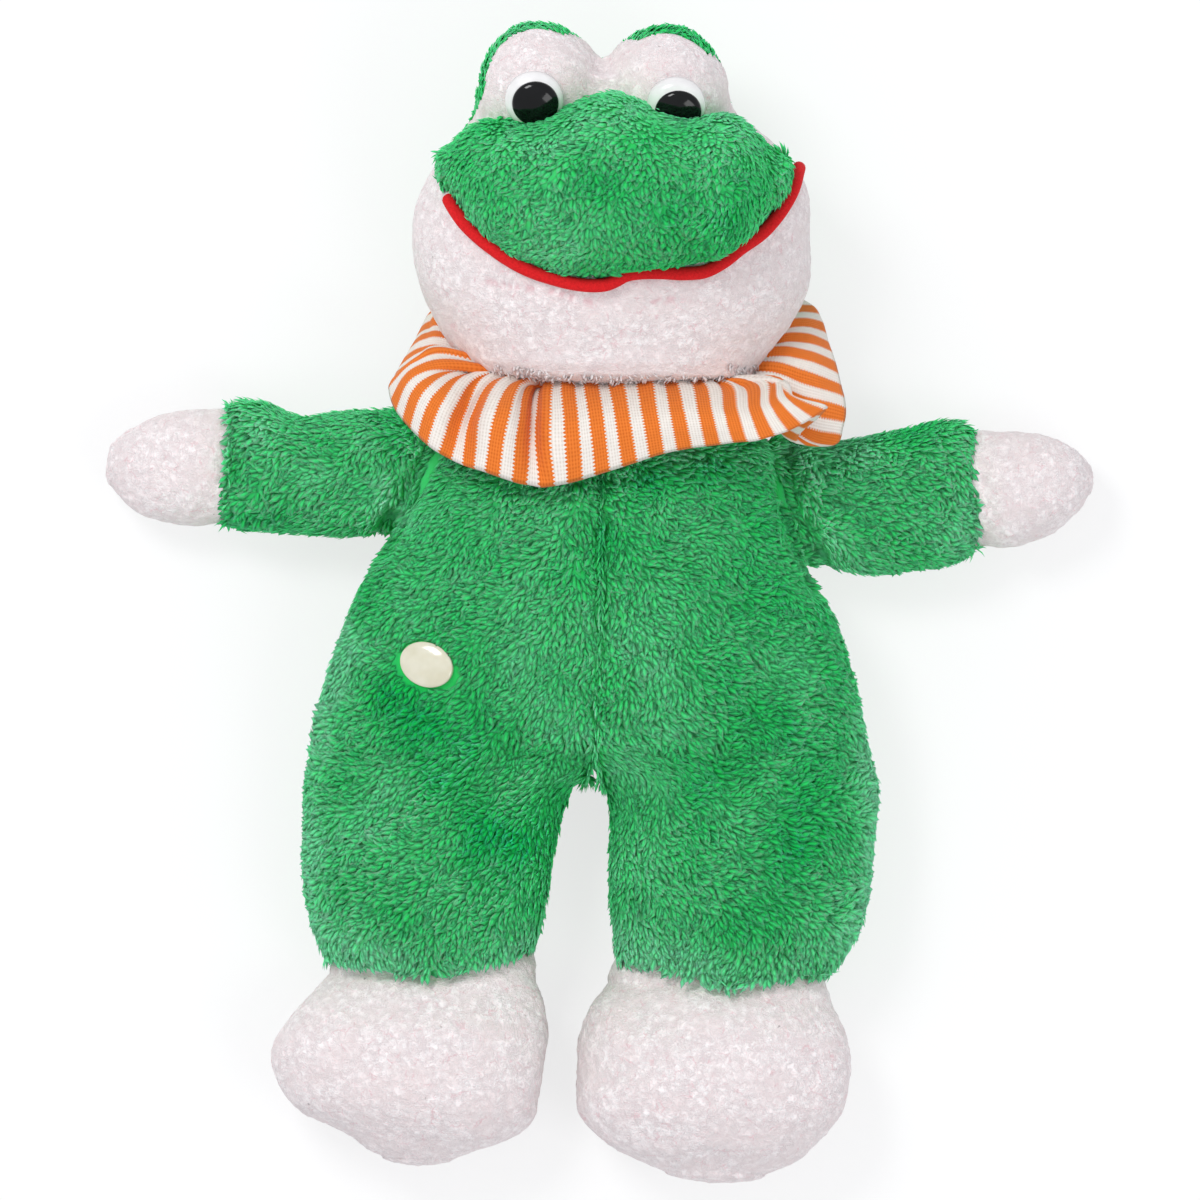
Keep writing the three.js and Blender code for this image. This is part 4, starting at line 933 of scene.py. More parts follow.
def skullSkin():
    # rays from the core; each ends where the distance changes sign, found by halving
    rows, sides = headForm["rings"], headForm["spokes"]
    fall = np.arange(1, rows) / rows * math.pi
    turn = turnsOf(sides)
    ways = np.stack([np.sin(fall)[:, None] * np.cos(turn), np.sin(fall)[:, None] * np.sin(turn),
                     np.broadcast_to(np.cos(fall)[:, None], (rows - 1, sides))], -1).reshape(-1, 3)
    ways = np.vstack([[0, 0, 1.0], ways, [0, 0, -1.0]])
    core = np.append(place(headForm["core"]), headForm["coreHeight"])
    low, high = np.full(len(ways), headForm["nearest"]), np.full(len(ways), headForm["farthest"])
    for _ in range(headForm["halvings"]):
        middle = (low + high) / 2
        inside = headDistance(core + ways * middle[:, None]) < 0
        low, high = np.where(inside, middle, low), np.where(inside, high, middle)
    points = core + ways * low[:, None]
    return closedGrid(points[1:-1].reshape(rows - 1, sides, 3), points[0], points[-1])


def panelSides(points):
    # which points lie on the jaw's side of its falling seam, and which on the eye panel's
    below = place([0, headForm["cornerRow"]])[1] - points[:, 1]
    jaw = (points[:, 2] > headForm["jawHeight"] - headForm["jawSlope"] * below) & (below > 0)
    pixels = toPixels(points)
    rim = np.interp(pixels[:, 0], *np.array(headForm["rim"], float).T) * mm
    rim = rim - headForm["rimDrop"] * smoothStep(*headForm["rimDropRows"], pixels[:, 1])
    return jaw, (points[:, 2] > rim) & (below <= 0)


def walled(points, triangles, normals, wall):
    # a patch of skin and its copy one wall further in, joined along the edges that only one triangle has
    edges = np.concatenate([triangles[:, [0, 1]], triangles[:, [1, 2]], triangles[:, [2, 0]]])
    codes, back = edges[:, 0] * len(points) + edges[:, 1], edges[:, 1] * len(points) + edges[:, 0]
    rim = edges[~np.isin(codes, back)]
    a, b = rim[:, 0], rim[:, 1]
    edge = quadFaces(b, a, a + len(points), b + len(points))
    faces = np.concatenate([triangles, triangles[:, ::-1] + len(points), edge])
    return np.vstack([points, points - normals * wall]), faces


def puckered(points, normals):
    # the jaw's stitches pull the cloth in along a dashed line, in a wider trough: the sum of both
    # depth * exp(-(distance / width)^2); also gives how pink the cloth is there
    pixels = toPixels(points)
    along = pixels[:, 0] + headForm["puckerWander"] * softNoise(points, 9 * mm, 66)
    dash = np.mod(along, headForm["puckerGap"]) / headForm["puckerGap"] < headForm["puckerShare"]
    near = lineDistance(pixels, headForm["pucker"]) * photo["pixelSize"]
    pull = np.exp(-(near / headForm["stitchWidth"]) ** 2) * dash * (softNoise(points, 14 * mm, 67) > -0.35)
    trough = np.exp(-(near / headForm["troughWidth"]) ** 2)
    depth = pull * headForm["stitchDepth"] + trough * headForm["troughDepth"]
    return points - normals * depth[:, None], pull * headForm["puckerPink"]


headSkin = stuffed(dented(skullSkin(), headForm["dents"], headForm["dentSize"], 6))
headMiddles = headSkin[0][headSkin[1]].mean(1)
isJaw, isEyePanel = panelSides(headMiddles)


def makeHeadPanel(name, chosen, seed):
    # a fleece panel on the head's skin, with the cloth's thickness under it and a fringe of short curls at the chin
    points, triangles = inward(headSkin, headForm["panelInset"])
    normals = normalsOf(points, triangles)
    points, pink = puckered(points, normals)
    used, renumbered = np.unique(triangles[chosen], return_inverse=True)
    faces = renumbered.reshape(-1, 3)
    outside = lumpy((points, triangles), ends["lump"], ends["lumpHeight"], seed)[0][used]
    panel = walled(outside, faces, normals[used], headForm["panelWall"])

    def keep(roots, facing):
        return (toPixels(roots)[:, 1] > headForm["fringeRow"]) & (facing[:, 2] < 0.65)

    roots, facing = lockRoots((outside, faces), fleeceLocks["area"], keep, seed)
    turn = softNoise(roots, 3.2 * mm, seed)
    curls = lockMesh(roots, facing, np.stack([turn, -1 - 0 * turn, 0 * turn], -1), fleeceLocks, seed + 1)
    piece = joined((*panel, np.concatenate([pink[used], 0 * pink[used]])), curls)
    piece[0][:, 2] = np.maximum(piece[0][:, 2], tipGap)
    return addPiece(name, *piece[:2], paleFleece, piece[2])


def makeHood():
    # the whole skull a little inside, with pile where no fleece panel covers it
    skin = inward(headSkin, pileReach + 0.2 * mm)
    hoodLocks = dict(greenLocks, length=4.6 * mm, area=2.0 * mm * mm)

    def keep(roots, facing):
        jaw, panel = panelSides(roots + [0, 0, 2.2 * mm])
        return ~jaw & ~panel

    def ways(roots):
        centre = np.append(place(headForm["core"]), 0)
        return wandering(unit((roots - centre) * [1, 1, 0]) + [0, -0.15, 0.25], roots, 25)

    piece = covered(skin, hoodLocks, ways, keep, 51)
    return addPiece("hood_pile", *piece[:2], greenPile, piece[2])


headPieces = {
    "hood": makeHood(),
    "jaw": makeHeadPanel("jaw_fleece", isJaw, 61),
    "eyePanel": makeHeadPanel("eye_panel_fleece", isEyePanel, 63),
}
print("head panels made")


mouthCord = {
    "radius": 2.35 * mm, "lift": 1.5 * mm,
    "path": [[447, 197], [455, 211], [465, 225], [478, 238], [493, 250], [512, 263], [532, 273], [553, 280],
             [576, 285.5], [594, 287], [606, 286], [616, 282], [625, 277], [638, 274.5], [660, 274], [684, 275],
             [704, 273], [722, 264], [740, 250], [762, 234], [780, 213], [792, 192], [799, 167]],
    "around": 20, "along": 260,
}
redJersey = mottledMaterial(    # brushed jersey over a round cord: saturated and matte, mottled by its short fibres
    "red brushed jersey", {"Roughness": 0.85, "Sheen Weight": 0.15, "Sheen Roughness": 0.5, "Sheen Tint": "#FF7070",
                           "Specular IOR Level": 0.15},
    {"Scale": 1 / (0.8 * mm), "Detail": 4.0, "Roughness": 0.7}, [(0.3, "#BC1519"), (0.6, "#DA1F23")],
    {"Strength": 0.35, "Distance": 0.3 * mm})
snout = {
    "spacing": 1.6 * mm,
    "back": 44 * mm, "front": 120 * mm,
    # two edge points of each rib and the front as a share of the rise
    "ribs": [[444, 146, 444, 191], [478, 120, 478, 237], [540, 115, 540, 273], [612, 92, 612, 283],
             [680, 115, 680, 272], [742, 120, 742, 251], [774, 151, 774, 213]],
    "fronts": [0.46, 0.75, 0.94, 1, 1, 0.88, 0.58],
    "tips": [[435, 168], [793, 174]],
    "nap": [-0.35, -0.75], "spread": 0.35, "tousle": 0.9, "tousleSize": 8 * mm,
    "middle": [605, 170],
    "cordRoom": 7,           # pixels beside the cord without locks
    "deepest": -1.5 * mm,    # how far under the skull's surface a lock may start
    "dents": 0.9 * mm, "dentSize": 26 * mm,
}


def makeSnout():
    # an oval muzzle; locks point down and a little away from its middle, tousled
    fronts = (snout["back"] + np.array(snout["fronts"]) * (snout["front"] - snout["back"]))[:, None]
    ribs = ribsFrom(np.column_stack([snout["ribs"], 0 * fronts + snout["back"], fronts]), 1)
    skin = ovalSkin(ribs, place(snout["tips"][0]), place(snout["tips"][1]), snout["spacing"])
    skin = stuffed(dented(inward(skin, pileReach * 0.8), snout["dents"], snout["dentSize"], 8))
    snoutLocks = dict(greenLocks, length=4.8 * mm, area=2.0 * mm * mm, width=2.1 * mm, ridge=0.19)

    def keep(roots, facing):
        fromCord = lineDistance(toPixels(roots), mouthCord["path"])
        return (headDistance(roots) > snout["deepest"]) & (fromCord > snout["cordRoom"])

    def ways(roots):
        away = (toPixels(roots) - snout["middle"]) * [1, -1] / 60
        lying = away / np.sqrt(1 + (away ** 2).sum(1))[:, None] * snout["spread"] + snout["nap"]
        tousled = np.stack([softNoise(roots, snout["tousleSize"], 37 + i) for i in range(2)], -1) * snout["tousle"]
        return wandering(np.column_stack([lying + tousled, np.full(len(roots), 0.04)]), roots, 35)

    piece = covered(skin, snoutLocks, ways, keep, 71)
    return addPiece("snout_pile", *piece[:2], greenPile, piece[2])


def skullFront(flat):
    # height of the skull's front: middle + half depth * sqrt(1 - share of the half width squared)
    pixels = toPixels(flat)
    middle, half, mid, deep = headWidths(pixels[:, 1])
    return mid + deep * np.sqrt(np.clip(1 - ((pixels[:, 0] - middle) / half) ** 2, 0, 1))


def tube(path, radius, around, endRounding):
    # a circle of the radius carried along the path, its ends closing as a ball does
    ways = unit(np.gradient(path, axis=0))
    sides = unit(np.cross(ways, [0, 0, 1.0]))
    ups = np.cross(sides, ways)
    length = lengthsAlong(path)
    fromEnd = np.minimum(length, length[-1] - length) / endRounding
    size = radius * np.sqrt(np.clip(1 - np.clip(1 - fromEnd, 0, 1) ** 2, 0.01, 1))
    turn = turnsOf(around)
    grid = path[:, None] + size[:, None, None] * (np.cos(turn)[None, :, None] * sides[:, None]
                                                  + np.sin(turn)[None, :, None] * ups[:, None])
    return closedGrid(grid, path[0], path[-1])


def makeMouthCord():
    # a tube along the seam between the muzzle and the jaw, lying on the skull
    path = np.array(mouthCord["path"], float)
    knots = lengthsAlong(path)
    flat = place(curveThrough(knots, path, np.linspace(0, knots[-1], mouthCord["along"])))
    line = np.column_stack([flat, skullFront(flat) + mouthCord["lift"]])
    skin = tube(line, mouthCord["radius"], mouthCord["around"], 2.0 * mm)
    return addPiece("mouth_cord", *skin, redJersey)


headPieces["snout"] = makeSnout()
headPieces["cord"] = makeMouthCord()
print("snout and mouth cord made")


eyes = {
    "centres": {"left": [534.5, 101], "right": [675.5, 106]},
    "radius": 10 * mm, "rim": 1.6 * mm, "crown": 3.2 * mm, "seat": 0.9 * mm, "sunk": 1.2 * mm,
    "pupil": 8 * mm, "pupilHeight": 2.6 * mm, "pupilFoot": 3.55 * mm, "pupilEdge": 1 * mm, "pupilSunk": 0.8 * mm,
    "tilts": {"left": math.radians(22), "right": math.radians(26)},
    "shifts": {"left": [0.4 * mm, 0], "right": [0.8 * mm, -0.9 * mm]},     # of the pupils on their discs
    "turns": 72,
}


def latheSkin(profile, turns, stretch=1.0):
    # radius and height pairs turned about z, their y squeezed by the stretch
    profile = np.array(profile, float)
    turn = turnsOf(turns)
    grid = np.stack([profile[1:-1, :1] * np.cos(turn), profile[1:-1, :1] * np.sin(turn) * stretch,
                     np.broadcast_to(profile[1:-1, 1:], (len(profile) - 2, turns))], -1)
    return closedGrid(grid, np.array([0, 0, profile[0, 1]]), np.array([0, 0, profile[-1, 1]]))


def roundedProfile(foot, radius, edge, dome, flat=0.0, steps=12):
    # up the side, over a small corner arc, then a dome: radius * cos(t), height * sin(t)
    turn = np.linspace(0, math.pi / 2, steps)
    side = [[0, foot], [radius * 0.97, foot], [radius, foot + edge * 0.15], [radius, foot + edge]]
    arc = np.column_stack([flat + (radius - flat) * np.cos(turn[1:]), foot + edge + dome * np.sin(turn[1:])])
    return side + arc.tolist() + ([[0, foot + edge + dome]] if flat else [])


def plasticMaterial(name, low, high, finish):
    # moulded plastic: smooth and glossy, with a faint unevenness of the moulding
    return mottledMaterial(name, finish, {"Scale": 1 / (6 * mm), "Detail": 2.0}, [(0.35, low), (0.65, high)],
                           {"Strength": 0.05, "Distance": 0.1 * mm})


def makeEye(side):
    # a white disc with a rim and a black dome on it, tilted towards the feet
    bump = headForm["bumps"][0 if side == "left" else 1]
    at = np.array(eyes["centres"][side], float)
    share = np.linalg.norm((at - np.array(bump["at"])) / [bump["across"], bump["along"]])
    height = headForm["bumpHeight"] + headForm["bumpHalfDepth"] * math.sqrt(1 - share ** 2) - eyes["seat"]
    foot = np.append(place(at), height)
    c, s = math.cos(eyes["tilts"][side]), math.sin(eyes["tilts"][side])
    tilt = np.array([[1, 0, 0], [0, c, -s], [0, s, c]])
    white = roundedProfile(-eyes["sunk"], eyes["radius"], eyes["rim"] + eyes["sunk"], eyes["crown"],
                           eyes["pupil"] * 0.6)
    pupil = roundedProfile(eyes["pupilFoot"] - eyes["pupilSunk"], eyes["pupil"], eyes["pupilEdge"] + eyes["pupilSunk"],
                           eyes["pupilHeight"])
    white, pupil = latheSkin(white, eyes["turns"]), latheSkin(pupil, eyes["turns"])
    pupil = pupil[0] + np.array(eyes["shifts"][side] + [0]), pupil[1]
    return (addPiece("eye_dome_" + side, white[0] @ tilt.T + foot, white[1], eyeWhite),
            addPiece("pupil_dome_" + side, pupil[0] @ tilt.T + foot, pupil[1], eyeBlack))


eyeWhite = plasticMaterial("white moulded polystyrene", "#E2E0DF", "#EBE9E8",
                           {"Roughness": 0.25, "IOR": 1.5, "Coat Weight": 0.3, "Coat Roughness": 0.1})
eyeBlack = plasticMaterial("black moulded polystyrene", "#070707", "#0C0C0D",
                           {"Roughness": 0.1, "IOR": 1.45, "Specular IOR Level": 0.35})
creamGloss = plasticMaterial("cream cast resin", "#CFCAB1", "#D8D4BF",
                             {"Roughness": 0.15, "IOR": 1.5, "Coat Weight": 0.6, "Coat Roughness": 0.05,
                              "Subsurface Weight": 0.1, "Subsurface Radius": (0.004, 0.003, 0.002)})
washerPlastic = plasticMaterial("natural polypropylene", "#D2D2CC", "#DCDCD6", {"Roughness": 0.4, "IOR": 1.49})
eyePieces = {side: makeEye(side) for side in ("left", "right")}


def bodyFront(x, y):
    # height of the body's front in the CAD: middle + half depth * sqrt(1 - share of the half width squared)
    body = np.array(romper["torso"], float)
    row, left, right, back, front = np.array([np.interp(photo["middle"] - y / photo["pixelSize"], body[:, 0], column)
                                              for column in body.T])
    column = (x - photo["sideShift"]) / photo["pixelSize"] + photo["middle"]
    share = (2 * column - left - right) / (right - left)
    back, front = back * romper["torsoDepth"], front * romper["torsoDepth"]
    return (back + front) / 2 + math.sqrt(1 - share ** 2) * (front - back) / 2


def makeBadge():
    # an oval resin drop, square to the body's front where it sits
    x, y = place(badge["at"])
    step = 2.4 * mm
    up = unit(np.array([-(bodyFront(x + step, y) - bodyFront(x - step, y)) / (2 * step),
                        -(bodyFront(x, y + step) - bodyFront(x, y - step)) / (2 * step), 1.0]))
    side = np.array([math.cos(badge["turn"]), math.sin(badge["turn"]), 0])
    side = unit(side - up * (side @ up))
    axes = np.stack([side, np.cross(up, side), up], 1)
    foot = np.array([x, y, bodyFront(x, y)]) + up * 0.35 * mm
    skin = latheSkin(roundedProfile(-0.5 * mm, badge["halfLong"], badge["edge"] + 0.5 * mm, badge["dome"]), 80,
                     badge["halfShort"] / badge["halfLong"])
    return addPiece("badge_face", skin[0] @ axes.T + foot, skin[1], creamGloss)


badgePiece = makeBadge()
print("eyes and badge made")


# The ruff is a strip of double striped jersey gathered on the neck.
ruff = {
    "steps": 840, "rows": 34,
    "wall": 1.1 * mm,
    "ringRow": 389, "ringColumn": 606, "ringRadius": 20.5 * mm, "ringHeight": 34 * mm,
    "shares": [0, 0.36, 0.68, 1],                   # of ring, shoulder, middle and edge along the cloth
    # angle on the ring, then pixel and height in mm of the shoulder, the middle and the edge
    "stations": [
        [2, 761, 367, 46, 802, 375, 49, 842, 388, 43], [6, 762, 376, 48, 804, 389, 51, 845, 400, 46],
        [10, 763, 385, 48, 806, 404, 53, 846, 414, 49], [14, 766, 393, 49, 806, 420, 54, 843, 428, 50],
        [18, 768, 400, 50, 805, 433, 54, 838, 443, 51], [22, 770, 404, 52, 795, 436, 54, 822, 447, 52],
        [25, 770, 402, 54, 782, 432, 57, 798, 444, 55], [28, 772, 395, 57, 783, 420, 62, 800, 434, 62],
        [31, 776, 384, 62, 790, 405, 69, 818, 418, 70], [33, 775, 381, 69, 791, 400, 79, 827, 409, 78],
        [36, 772, 381, 64, 787, 401, 81, 815, 417, 81], [40, 766, 381, 64, 779, 404, 82, 800, 426, 83],
        [44, 757, 382, 64, 769, 408, 82, 785, 433, 84], [48, 746, 384, 63, 757, 411, 81, 769, 438, 84],
        [52, 733, 386, 62, 744, 413, 80, 754, 442, 83], [57, 716, 385, 61, 727, 414, 80, 737, 443, 81],
        [63, 696, 382, 61, 708, 414, 80, 716, 446, 79],
        [70, 672, 379, 60, 684, 414, 80, 692, 449, 79], [78, 646, 378, 60, 655, 414, 80, 662, 455, 79],
        [86, 618, 378, 60, 626, 416, 80, 634, 464, 79], [93, 591, 379, 60, 597, 419, 80, 603, 474, 79],
        [99, 568, 381, 60, 570, 424, 79, 573, 483, 79], [104, 553, 382, 60, 549, 424, 77, 552, 487, 79],
        [107, 546, 383, 53, 539, 420, 69, 541, 488, 79], [110, 541, 384, 51, 531, 420, 68, 530, 486, 79],
        [113, 534, 384, 56, 520, 424, 76, 518, 484, 80], [118, 524, 384, 61, 508, 422, 80, 500, 478, 81],
        [124, 511, 382, 61, 490, 418, 78, 480, 471, 79], [129, 499, 380, 58, 474, 418, 68, 466, 467, 75],
        [134, 489, 378, 57, 463, 414, 68, 450, 460, 73], [140, 477, 376, 57, 447, 405, 73, 432, 449, 74],
        [148, 466, 373, 56, 428, 391, 70, 411, 430, 68], [157, 458, 367, 60, 415, 377, 65, 395, 409, 61],
        [164, 450, 356, 57, 416, 365, 61, 389, 390, 57], [168, 446, 351, 54, 418, 359, 58, 391, 381, 54],
        [170, 448, 353, 45, 421, 357, 45, 396, 374, 42], [176, 450, 350, 42, 423, 350, 40, 403, 361, 36],
        [187, 450, 340, 37, 427, 337, 34, 411, 345, 30], [199, 449, 326, 30, 430, 326, 26, 417, 332, 22],
        [214, 453, 308, 22, 439, 308, 18, 431, 313, 15], [238, 491, 301, 14, 481, 285, 9, 474, 280, 6],
        [270, 601, 301, 10, 601, 284, 6, 601, 272, 4], [300, 711, 301, 14, 732, 285, 9, 746, 280, 6],
        [320, 758, 310, 22, 782, 303, 17, 806, 301, 13], [333, 770, 328, 29, 798, 319, 27, 822, 320, 22],
        [344, 769, 343, 35, 802, 336, 35, 829, 342, 30], [351, 766, 351, 40, 805, 350, 41, 835, 358, 36],
        [357, 764, 358, 43, 805, 361, 46, 839, 373, 40],
    ],
    "pleats": 40, "pleatDepth": 1.6 * mm,
    "waveDepth": 0.9 * mm, "waveSize": 13 * mm,
    "stripe": 9.8 * mm, "orangeShare": 0.55,
    "orangeAt": [546, 486],  # the middle of one orange stripe at the edge
    "course": 1.3 * mm,      # knitted courses run across the stripes
    "teeth": 0.42 * mm, "waver": 0.5 * mm,          # how far the stripes' edges step and wander
    "orange": "#E57B31", "orangeGap": "#C65D1B", "white": "#EBE4DC", "whiteGap": "#D2C6BB",
}


def ruffSurface():
    # round the neck by smooth curves through the stations, outwards by one through ring, shoulder, middle and edge
    table = np.array(ruff["stations"], float)
    before, after = table[-3:].copy(), table[:3].copy()
    before[:, 0] -= 360
    after[:, 0] += 360
    wrapped = np.vstack([before, table, after])
    around = curveThrough(np.arange(len(wrapped)) - 3, wrapped, np.arange(ruff["steps"]) / ruff["steps"] * len(table))
    turn = np.radians(around[:, 0])
    ringX, ringY = place([ruff["ringColumn"], ruff["ringRow"]])
    ring = np.stack([ringX + ruff["ringRadius"] * np.cos(turn), np.full(len(turn), ringY),
                     ruff["ringHeight"] + ruff["ringRadius"] * np.sin(turn)], -1)
    lines = [ring] + [np.column_stack([place(around[:, i:i + 2]), around[:, i + 2] * mm]) for i in (1, 4, 7)]
    surface = curveThrough(ruff["shares"], np.stack(lines), np.linspace(0, 1, ruff["rows"]))
    return surface.transpose(1, 0, 2)


def gridNormals(grid):
    # the cross product of the two grid directions
    return unit(np.cross(np.gradient(grid, axis=1), np.roll(grid, -1, 0) - np.roll(grid, 1, 0)))


def makeRuff():
    # the surface with gathers at the ring and slow waves at the edge, as two layers that meet in a round edge:
    # half wall * (1 - t^10)^0.5
    grid = ruffSurface()
    normals = gridNormals(grid)
    steps, rows = grid.shape[:2]
    outer = lengthsAlong(grid[:, -1])
    t = np.linspace(0, 1, rows)[None]
    turn = turnsOf(steps)
    wander = 2.2 * softNoise(np.stack([np.cos(turn), np.sin(turn), 0 * turn], -1) * 3, 1.0, 81)
    pleat = np.sin(turn * ruff["pleats"] + wander)[:, None] * (1 - t) ** 2
    wave = softNoise(grid, ruff["waveSize"], 82) * t
    grid = grid + normals * (pleat * ruff["pleatDepth"] + wave * ruff["waveDepth"])[..., None]
    half = ruff["wall"] * np.sqrt(1 - t ** 10)[..., None]
    normals = gridNormals(grid)
    around = np.concatenate([grid + normals * half, (grid - normals * half)[:, ::-1][:, 1:]], 1)
    around[..., 2] = np.maximum(around[..., 2], floorGap)
    layers = around.shape[1]
    index = np.arange(steps * layers).reshape(steps, layers)
    beside = np.roll(index, -1, 0)
    triangles = quadFaces(index, beside, np.roll(beside, -1, 1), np.roll(index, -1, 1))
    width = float(np.linalg.norm(np.diff(grid, axis=1), axis=2).sum(1).mean())
    length = float(outer[-1] + np.linalg.norm(grid[0, -1] - grid[-1, -1]))
    across = np.concatenate([t[0], t[0, ::-1][1:]]) * width
    flat = np.stack([np.broadcast_to(outer[:, None], (steps, layers)), np.broadcast_to(across, (steps, layers))], -1)
    points, triangles = outward(around.reshape(-1, 3), triangles)
    nearest = np.argmin(np.linalg.norm(toPixels(grid[:, -1]) - ruff["orangeAt"], axis=1))
    uv = flat.reshape(-1, 2)[triangles] - [outer[nearest], 0]
    closing = uv[..., 0].max(1) - uv[..., 0].min(1) > length / 2
    uv[closing] = np.where(uv[closing][..., :1] < length / 2 - outer[nearest], uv[closing] + [length, 0], uv[closing])
    jersey = jerseyMaterial("striped cotton jersey", ruff, length)
    return addPiece("ruff_cloth", points, triangles, jersey, uv=uv), length, width


def jerseyMaterial(name, look, length):
    # single jersey in two yarns: stripes with small teeth at each course, darker gaps between the stitches
    material, shader, add = newMaterial(name, {"Roughness": 0.9, "Sheen Weight": 0.15, "Sheen Roughness": 0.4,
                                               "Specular IOR Level": 0.15})
    cloth = add("UVMap", {"uv_map": "cloth"})
    parts = add("SeparateXYZ", {"Vector": cloth}).outputs
    course = add("Math", {"operation": "MULTIPLY", 0: parts[1], 1: 2 * math.pi / look["course"]})
    teeth = add("Math", {"operation": "SINE", 0: course})
    uneven = add("TexNoise", {"Vector": cloth, "Scale": 1 / (2.5 * mm), "Detail": 2.0})
    shift = add("Math", {"operation": "MULTIPLY_ADD", 0: teeth, 1: look["teeth"], 2: parts[0]})
    shift = add("Math", {"operation": "MULTIPLY_ADD", 0: uneven, 1: look["waver"], 2: shift})
    stripes = round(length / look["stripe"])
    along = add("Math", {"operation": "MULTIPLY_ADD", 0: shift, 1: stripes / length, 2: 0.5})
    part = add("Math", {"operation": "FRACT", 0: along})
    far = add("Math", {"operation": "ABSOLUTE", 0: add("Math", {"operation": "SUBTRACT", 0: part, 1: 0.5})})
    edge = look["orangeShare"] / 2
    band = add("MapRange", {"Value": far, "From Min": edge - 0.015, "From Max": edge + 0.015})
    wale = add("Math", {"operation": "MULTIPLY", 0: parts[0], 1: 2 * math.pi / (look["course"] * 0.8)})
    knit = add("Math", {"operation": "MULTIPLY_ADD", 0: teeth, 1: 0.7, 2: add("Math", {"operation": "SINE", 0: wale})})
    gap = add("MapRange", {"Value": knit, "From Min": -1.5, "From Max": 0.4, "To Min": 0.75, "To Max": 0.0})
    orange, white = (add("Mix", {"data_type": "RGBA", 0: gap, 6: look[yarn], 7: look[yarn + "Gap"]})
                     for yarn in ("orange", "white"))
    yarn = add("Mix", {"data_type": "RGBA", 0: band, 6: orange, 7: white})
    randomPatches = add("MapRange", {"Value": uneven, "From Min": 0.3, "From Max": 0.7, "To Min": 0.95, "To Max": 1.02})
    final = add("Mix", {"data_type": "RGBA", "blend_type": "MULTIPLY", 0: 1.0, 6: yarn, 7: randomPatches})
    bump = add("Bump", {"Height": knit, "Strength": 0.25, "Distance": 0.2 * mm})
    setUp(shader, {"Base Color": final, "Normal": bump})
    return material


ruffPiece, ruffLong, ruffWide = makeRuff()
print("ruff made:", round(ruffLong / mm), "by", round(ruffWide / mm), "mm")


neck = {"at": [606, 386], "height": 34 * mm, "ball": 18.6 * mm, "stem": 12.8 * mm, "stemLength": 32 * mm}


def makeNeck():
    # a ball with a stem towards the head, about y
    stem, ball, top = neck["stem"], neck["ball"], neck["stemLength"]
    start = math.acos(stem / ball)
    turn = np.linspace(start, -math.pi / 2, 22)[1:]
    profile = [[0, top], [stem * 0.9, top], [stem, top - mm]]
    profile += [[stem, height] for height in np.linspace(top - 3 * mm, ball * math.sin(start), 8)]
    profile += np.column_stack([ball * np.cos(turn), ball * np.sin(turn)]).tolist()
    points, triangles = latheSkin(profile, 48)
    points = np.stack([points[:, 0], points[:, 2], -points[:, 1]], -1) + np.append(place(neck["at"]), neck["height"])
    points, triangles = outward(points, triangles)
    points = points + normalsOf(points, triangles) * (softNoise(points, 6 * mm, 91) * 0.4 * mm)[:, None]
    return addPiece("neck_tube", points, triangles, greenPile, np.full(len(points), 0.45))


neckPiece = makeNeck()


studio = {
    "tableColour": "#F4F4F4", "tableHalf": 6.0,
    "tableGlow": 0.72,       # share of plain white that the camera sees in the table, over which the shadows lie
    "keyPower": 17.0, "keySize": 0.6, "keyAt": (-0.75, 0.85, 1.7),
    "fillPower": 6.0, "fillSize": 0.7, "fillAt": (0.8, -0.6, 1.5),
    "sky": 0.75, "skyColour": "#F7F9FF",
}


def makeTable():
    # a wide flat table with its top at the floor: the camera sees a share of plain white in it,
    # the lamps light the rest
    half = studio["tableHalf"]
    corners = np.array([[-half, -half, 0], [half, -half, 0], [half, half, 0], [-half, half, 0]], float)
    material, shader, add = newMaterial("pale matte table", {"Base Color": studio["tableColour"], "Roughness": 0.9})
    ray = add("LightPath").outputs
    seen = add("Math", {"operation": "MAXIMUM", 0: ray["Is Camera Ray"], 1: ray["Is Glossy Ray"]})
    seen = add("Math", {"operation": "MAXIMUM", 0: seen, 1: ray["Is Transmission Ray"]})
    share = add("Math", {"operation": "MULTIPLY", 0: seen, 1: studio["tableGlow"]})
    glow = add("Emission", {"Color": "#FFFFFF", "Strength": 1.0})
    out = next(node for node in material.node_tree.nodes if node.type == "OUTPUT_MATERIAL")
    setUp(out, {"Surface": add("MixShader", {0: share, 1: shader, 2: glow})})
    addPiece("table", corners, np.array([[0, 1, 2], [0, 2, 3]]), material)


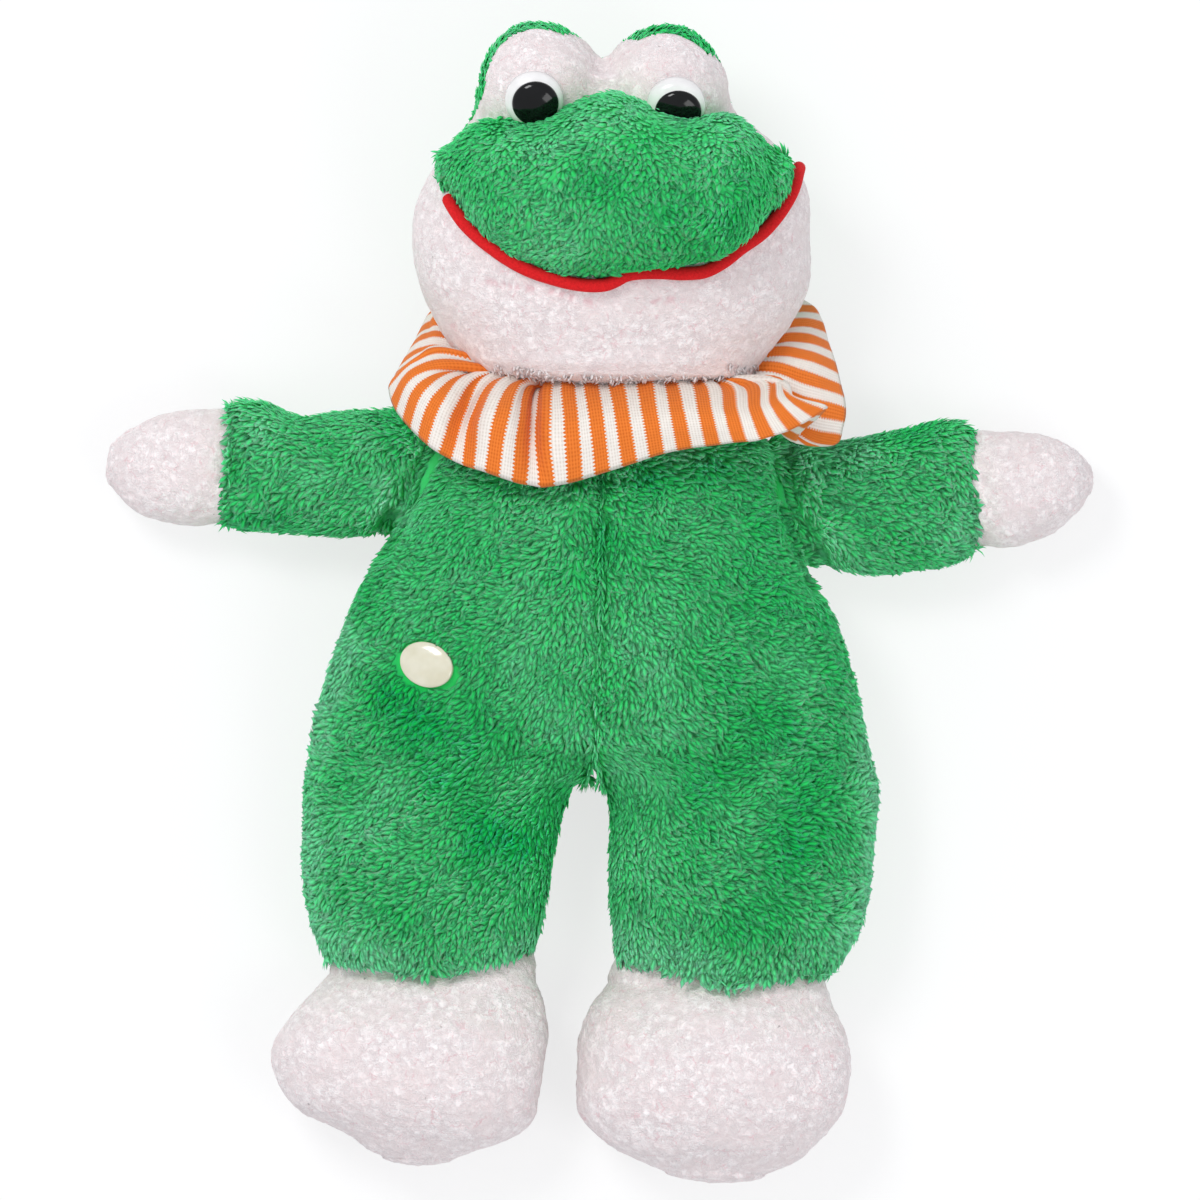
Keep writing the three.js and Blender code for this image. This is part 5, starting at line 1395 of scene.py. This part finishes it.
def makeRoom():
    # an even pale room that the camera sees as white, two soft lamps, and the camera straight above
    scene = bpy.context.scene
    scene.world = world = bpy.data.worlds.new("pale room")
    world.use_nodes = True
    world.node_tree.nodes.clear()
    add = partial(addNode, world)
    air = add("Background", {"Color": studio["skyColour"], "Strength": studio["sky"]})
    white = add("Background", {"Color": "#FFFFFF", "Strength": 1.0})
    add("OutputWorld", {"Surface": add("MixShader", {0: add("LightPath").outputs["Is Camera Ray"], 1: air, 2: white})})
    for lampName in ("key", "fill"):
        lamp = bpy.data.lights.new(lampName + " softbox", "AREA")
        lamp.energy, lamp.size = studio[lampName + "Power"], studio[lampName + "Size"]
        holder = bpy.data.objects.new(lampName + " softbox", lamp)
        holder.location = studio[lampName + "At"]
        holder.rotation_euler = (-holder.location).to_track_quat("-Z", "Y").to_euler()
        scene.collection.objects.link(holder)
    camera = bpy.data.cameras.new("camera")
    camera.sensor_width = photo["sensor"]
    frameWide = 2 * photo["middle"] * photo["pixelSize"]
    camera.lens = photo["sensor"] * (photo["cameraHeight"] - photo["focusHeight"]) / frameWide
    camera.clip_end = 20
    holder = bpy.data.objects.new("camera", camera)
    holder.location = (photo["sideShift"], 0, photo["cameraHeight"])
    scene.collection.objects.link(holder)
    scene.camera = holder
    scene.view_settings.view_transform = "Standard"


makeTable()
makeRoom()
print("table, lamps and camera set")


def stand(piece, nodes, body=None):
    # attaches a piece to its body, if it has one, and hides the CAD nodes that it stands for
    if body:
        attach(piece, body)
    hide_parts(*nodes)


for side, sign in (("left", -1), ("right", 1)):
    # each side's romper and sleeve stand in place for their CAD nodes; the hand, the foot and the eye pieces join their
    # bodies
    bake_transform(romperPieces[side])
    stand(romperPieces[side], ["torso_cover_" + side, "leg_" + side, "leg_stuffing_" + side])
    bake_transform(sleevePieces[side])
    stand(sleevePieces[side], ["sleeve_" + side, "sleeve_stuffing_" + side])
    for part in ("hand", "foot"):
        stand(endPieces[part + "_" + side], [part + "_" + side, part + "_stuffing_" + side],
              part + "_" + side)
    stand(eyePieces[side][0], ["eye_white_" + side], "head")
    stand(eyePieces[side][1], ["eye_pupil_" + side], "head")
for washer in ("eye_washer_left", "eye_washer_right", "badge_washer"):
    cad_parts[washer].data.materials.clear()
    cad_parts[washer].data.materials.append(washerPlastic)
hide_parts("torso_stuffing")
stand(headPieces["hood"], ["head_hood", "head_stuffing"], "head")
stand(headPieces["jaw"], ["head_jaw"], "head")
stand(headPieces["eyePanel"], ["head_eye_panel"], "head")
stand(headPieces["snout"], ["head_snout"], "head")
stand(headPieces["cord"], ["mouth_piping"], "head")
stand(badgePiece, ["badge"], "torso")
stand(neckPiece, ["neck_stuffing"], "neck")
stand(ruffPiece, ["ruff"], "torso")
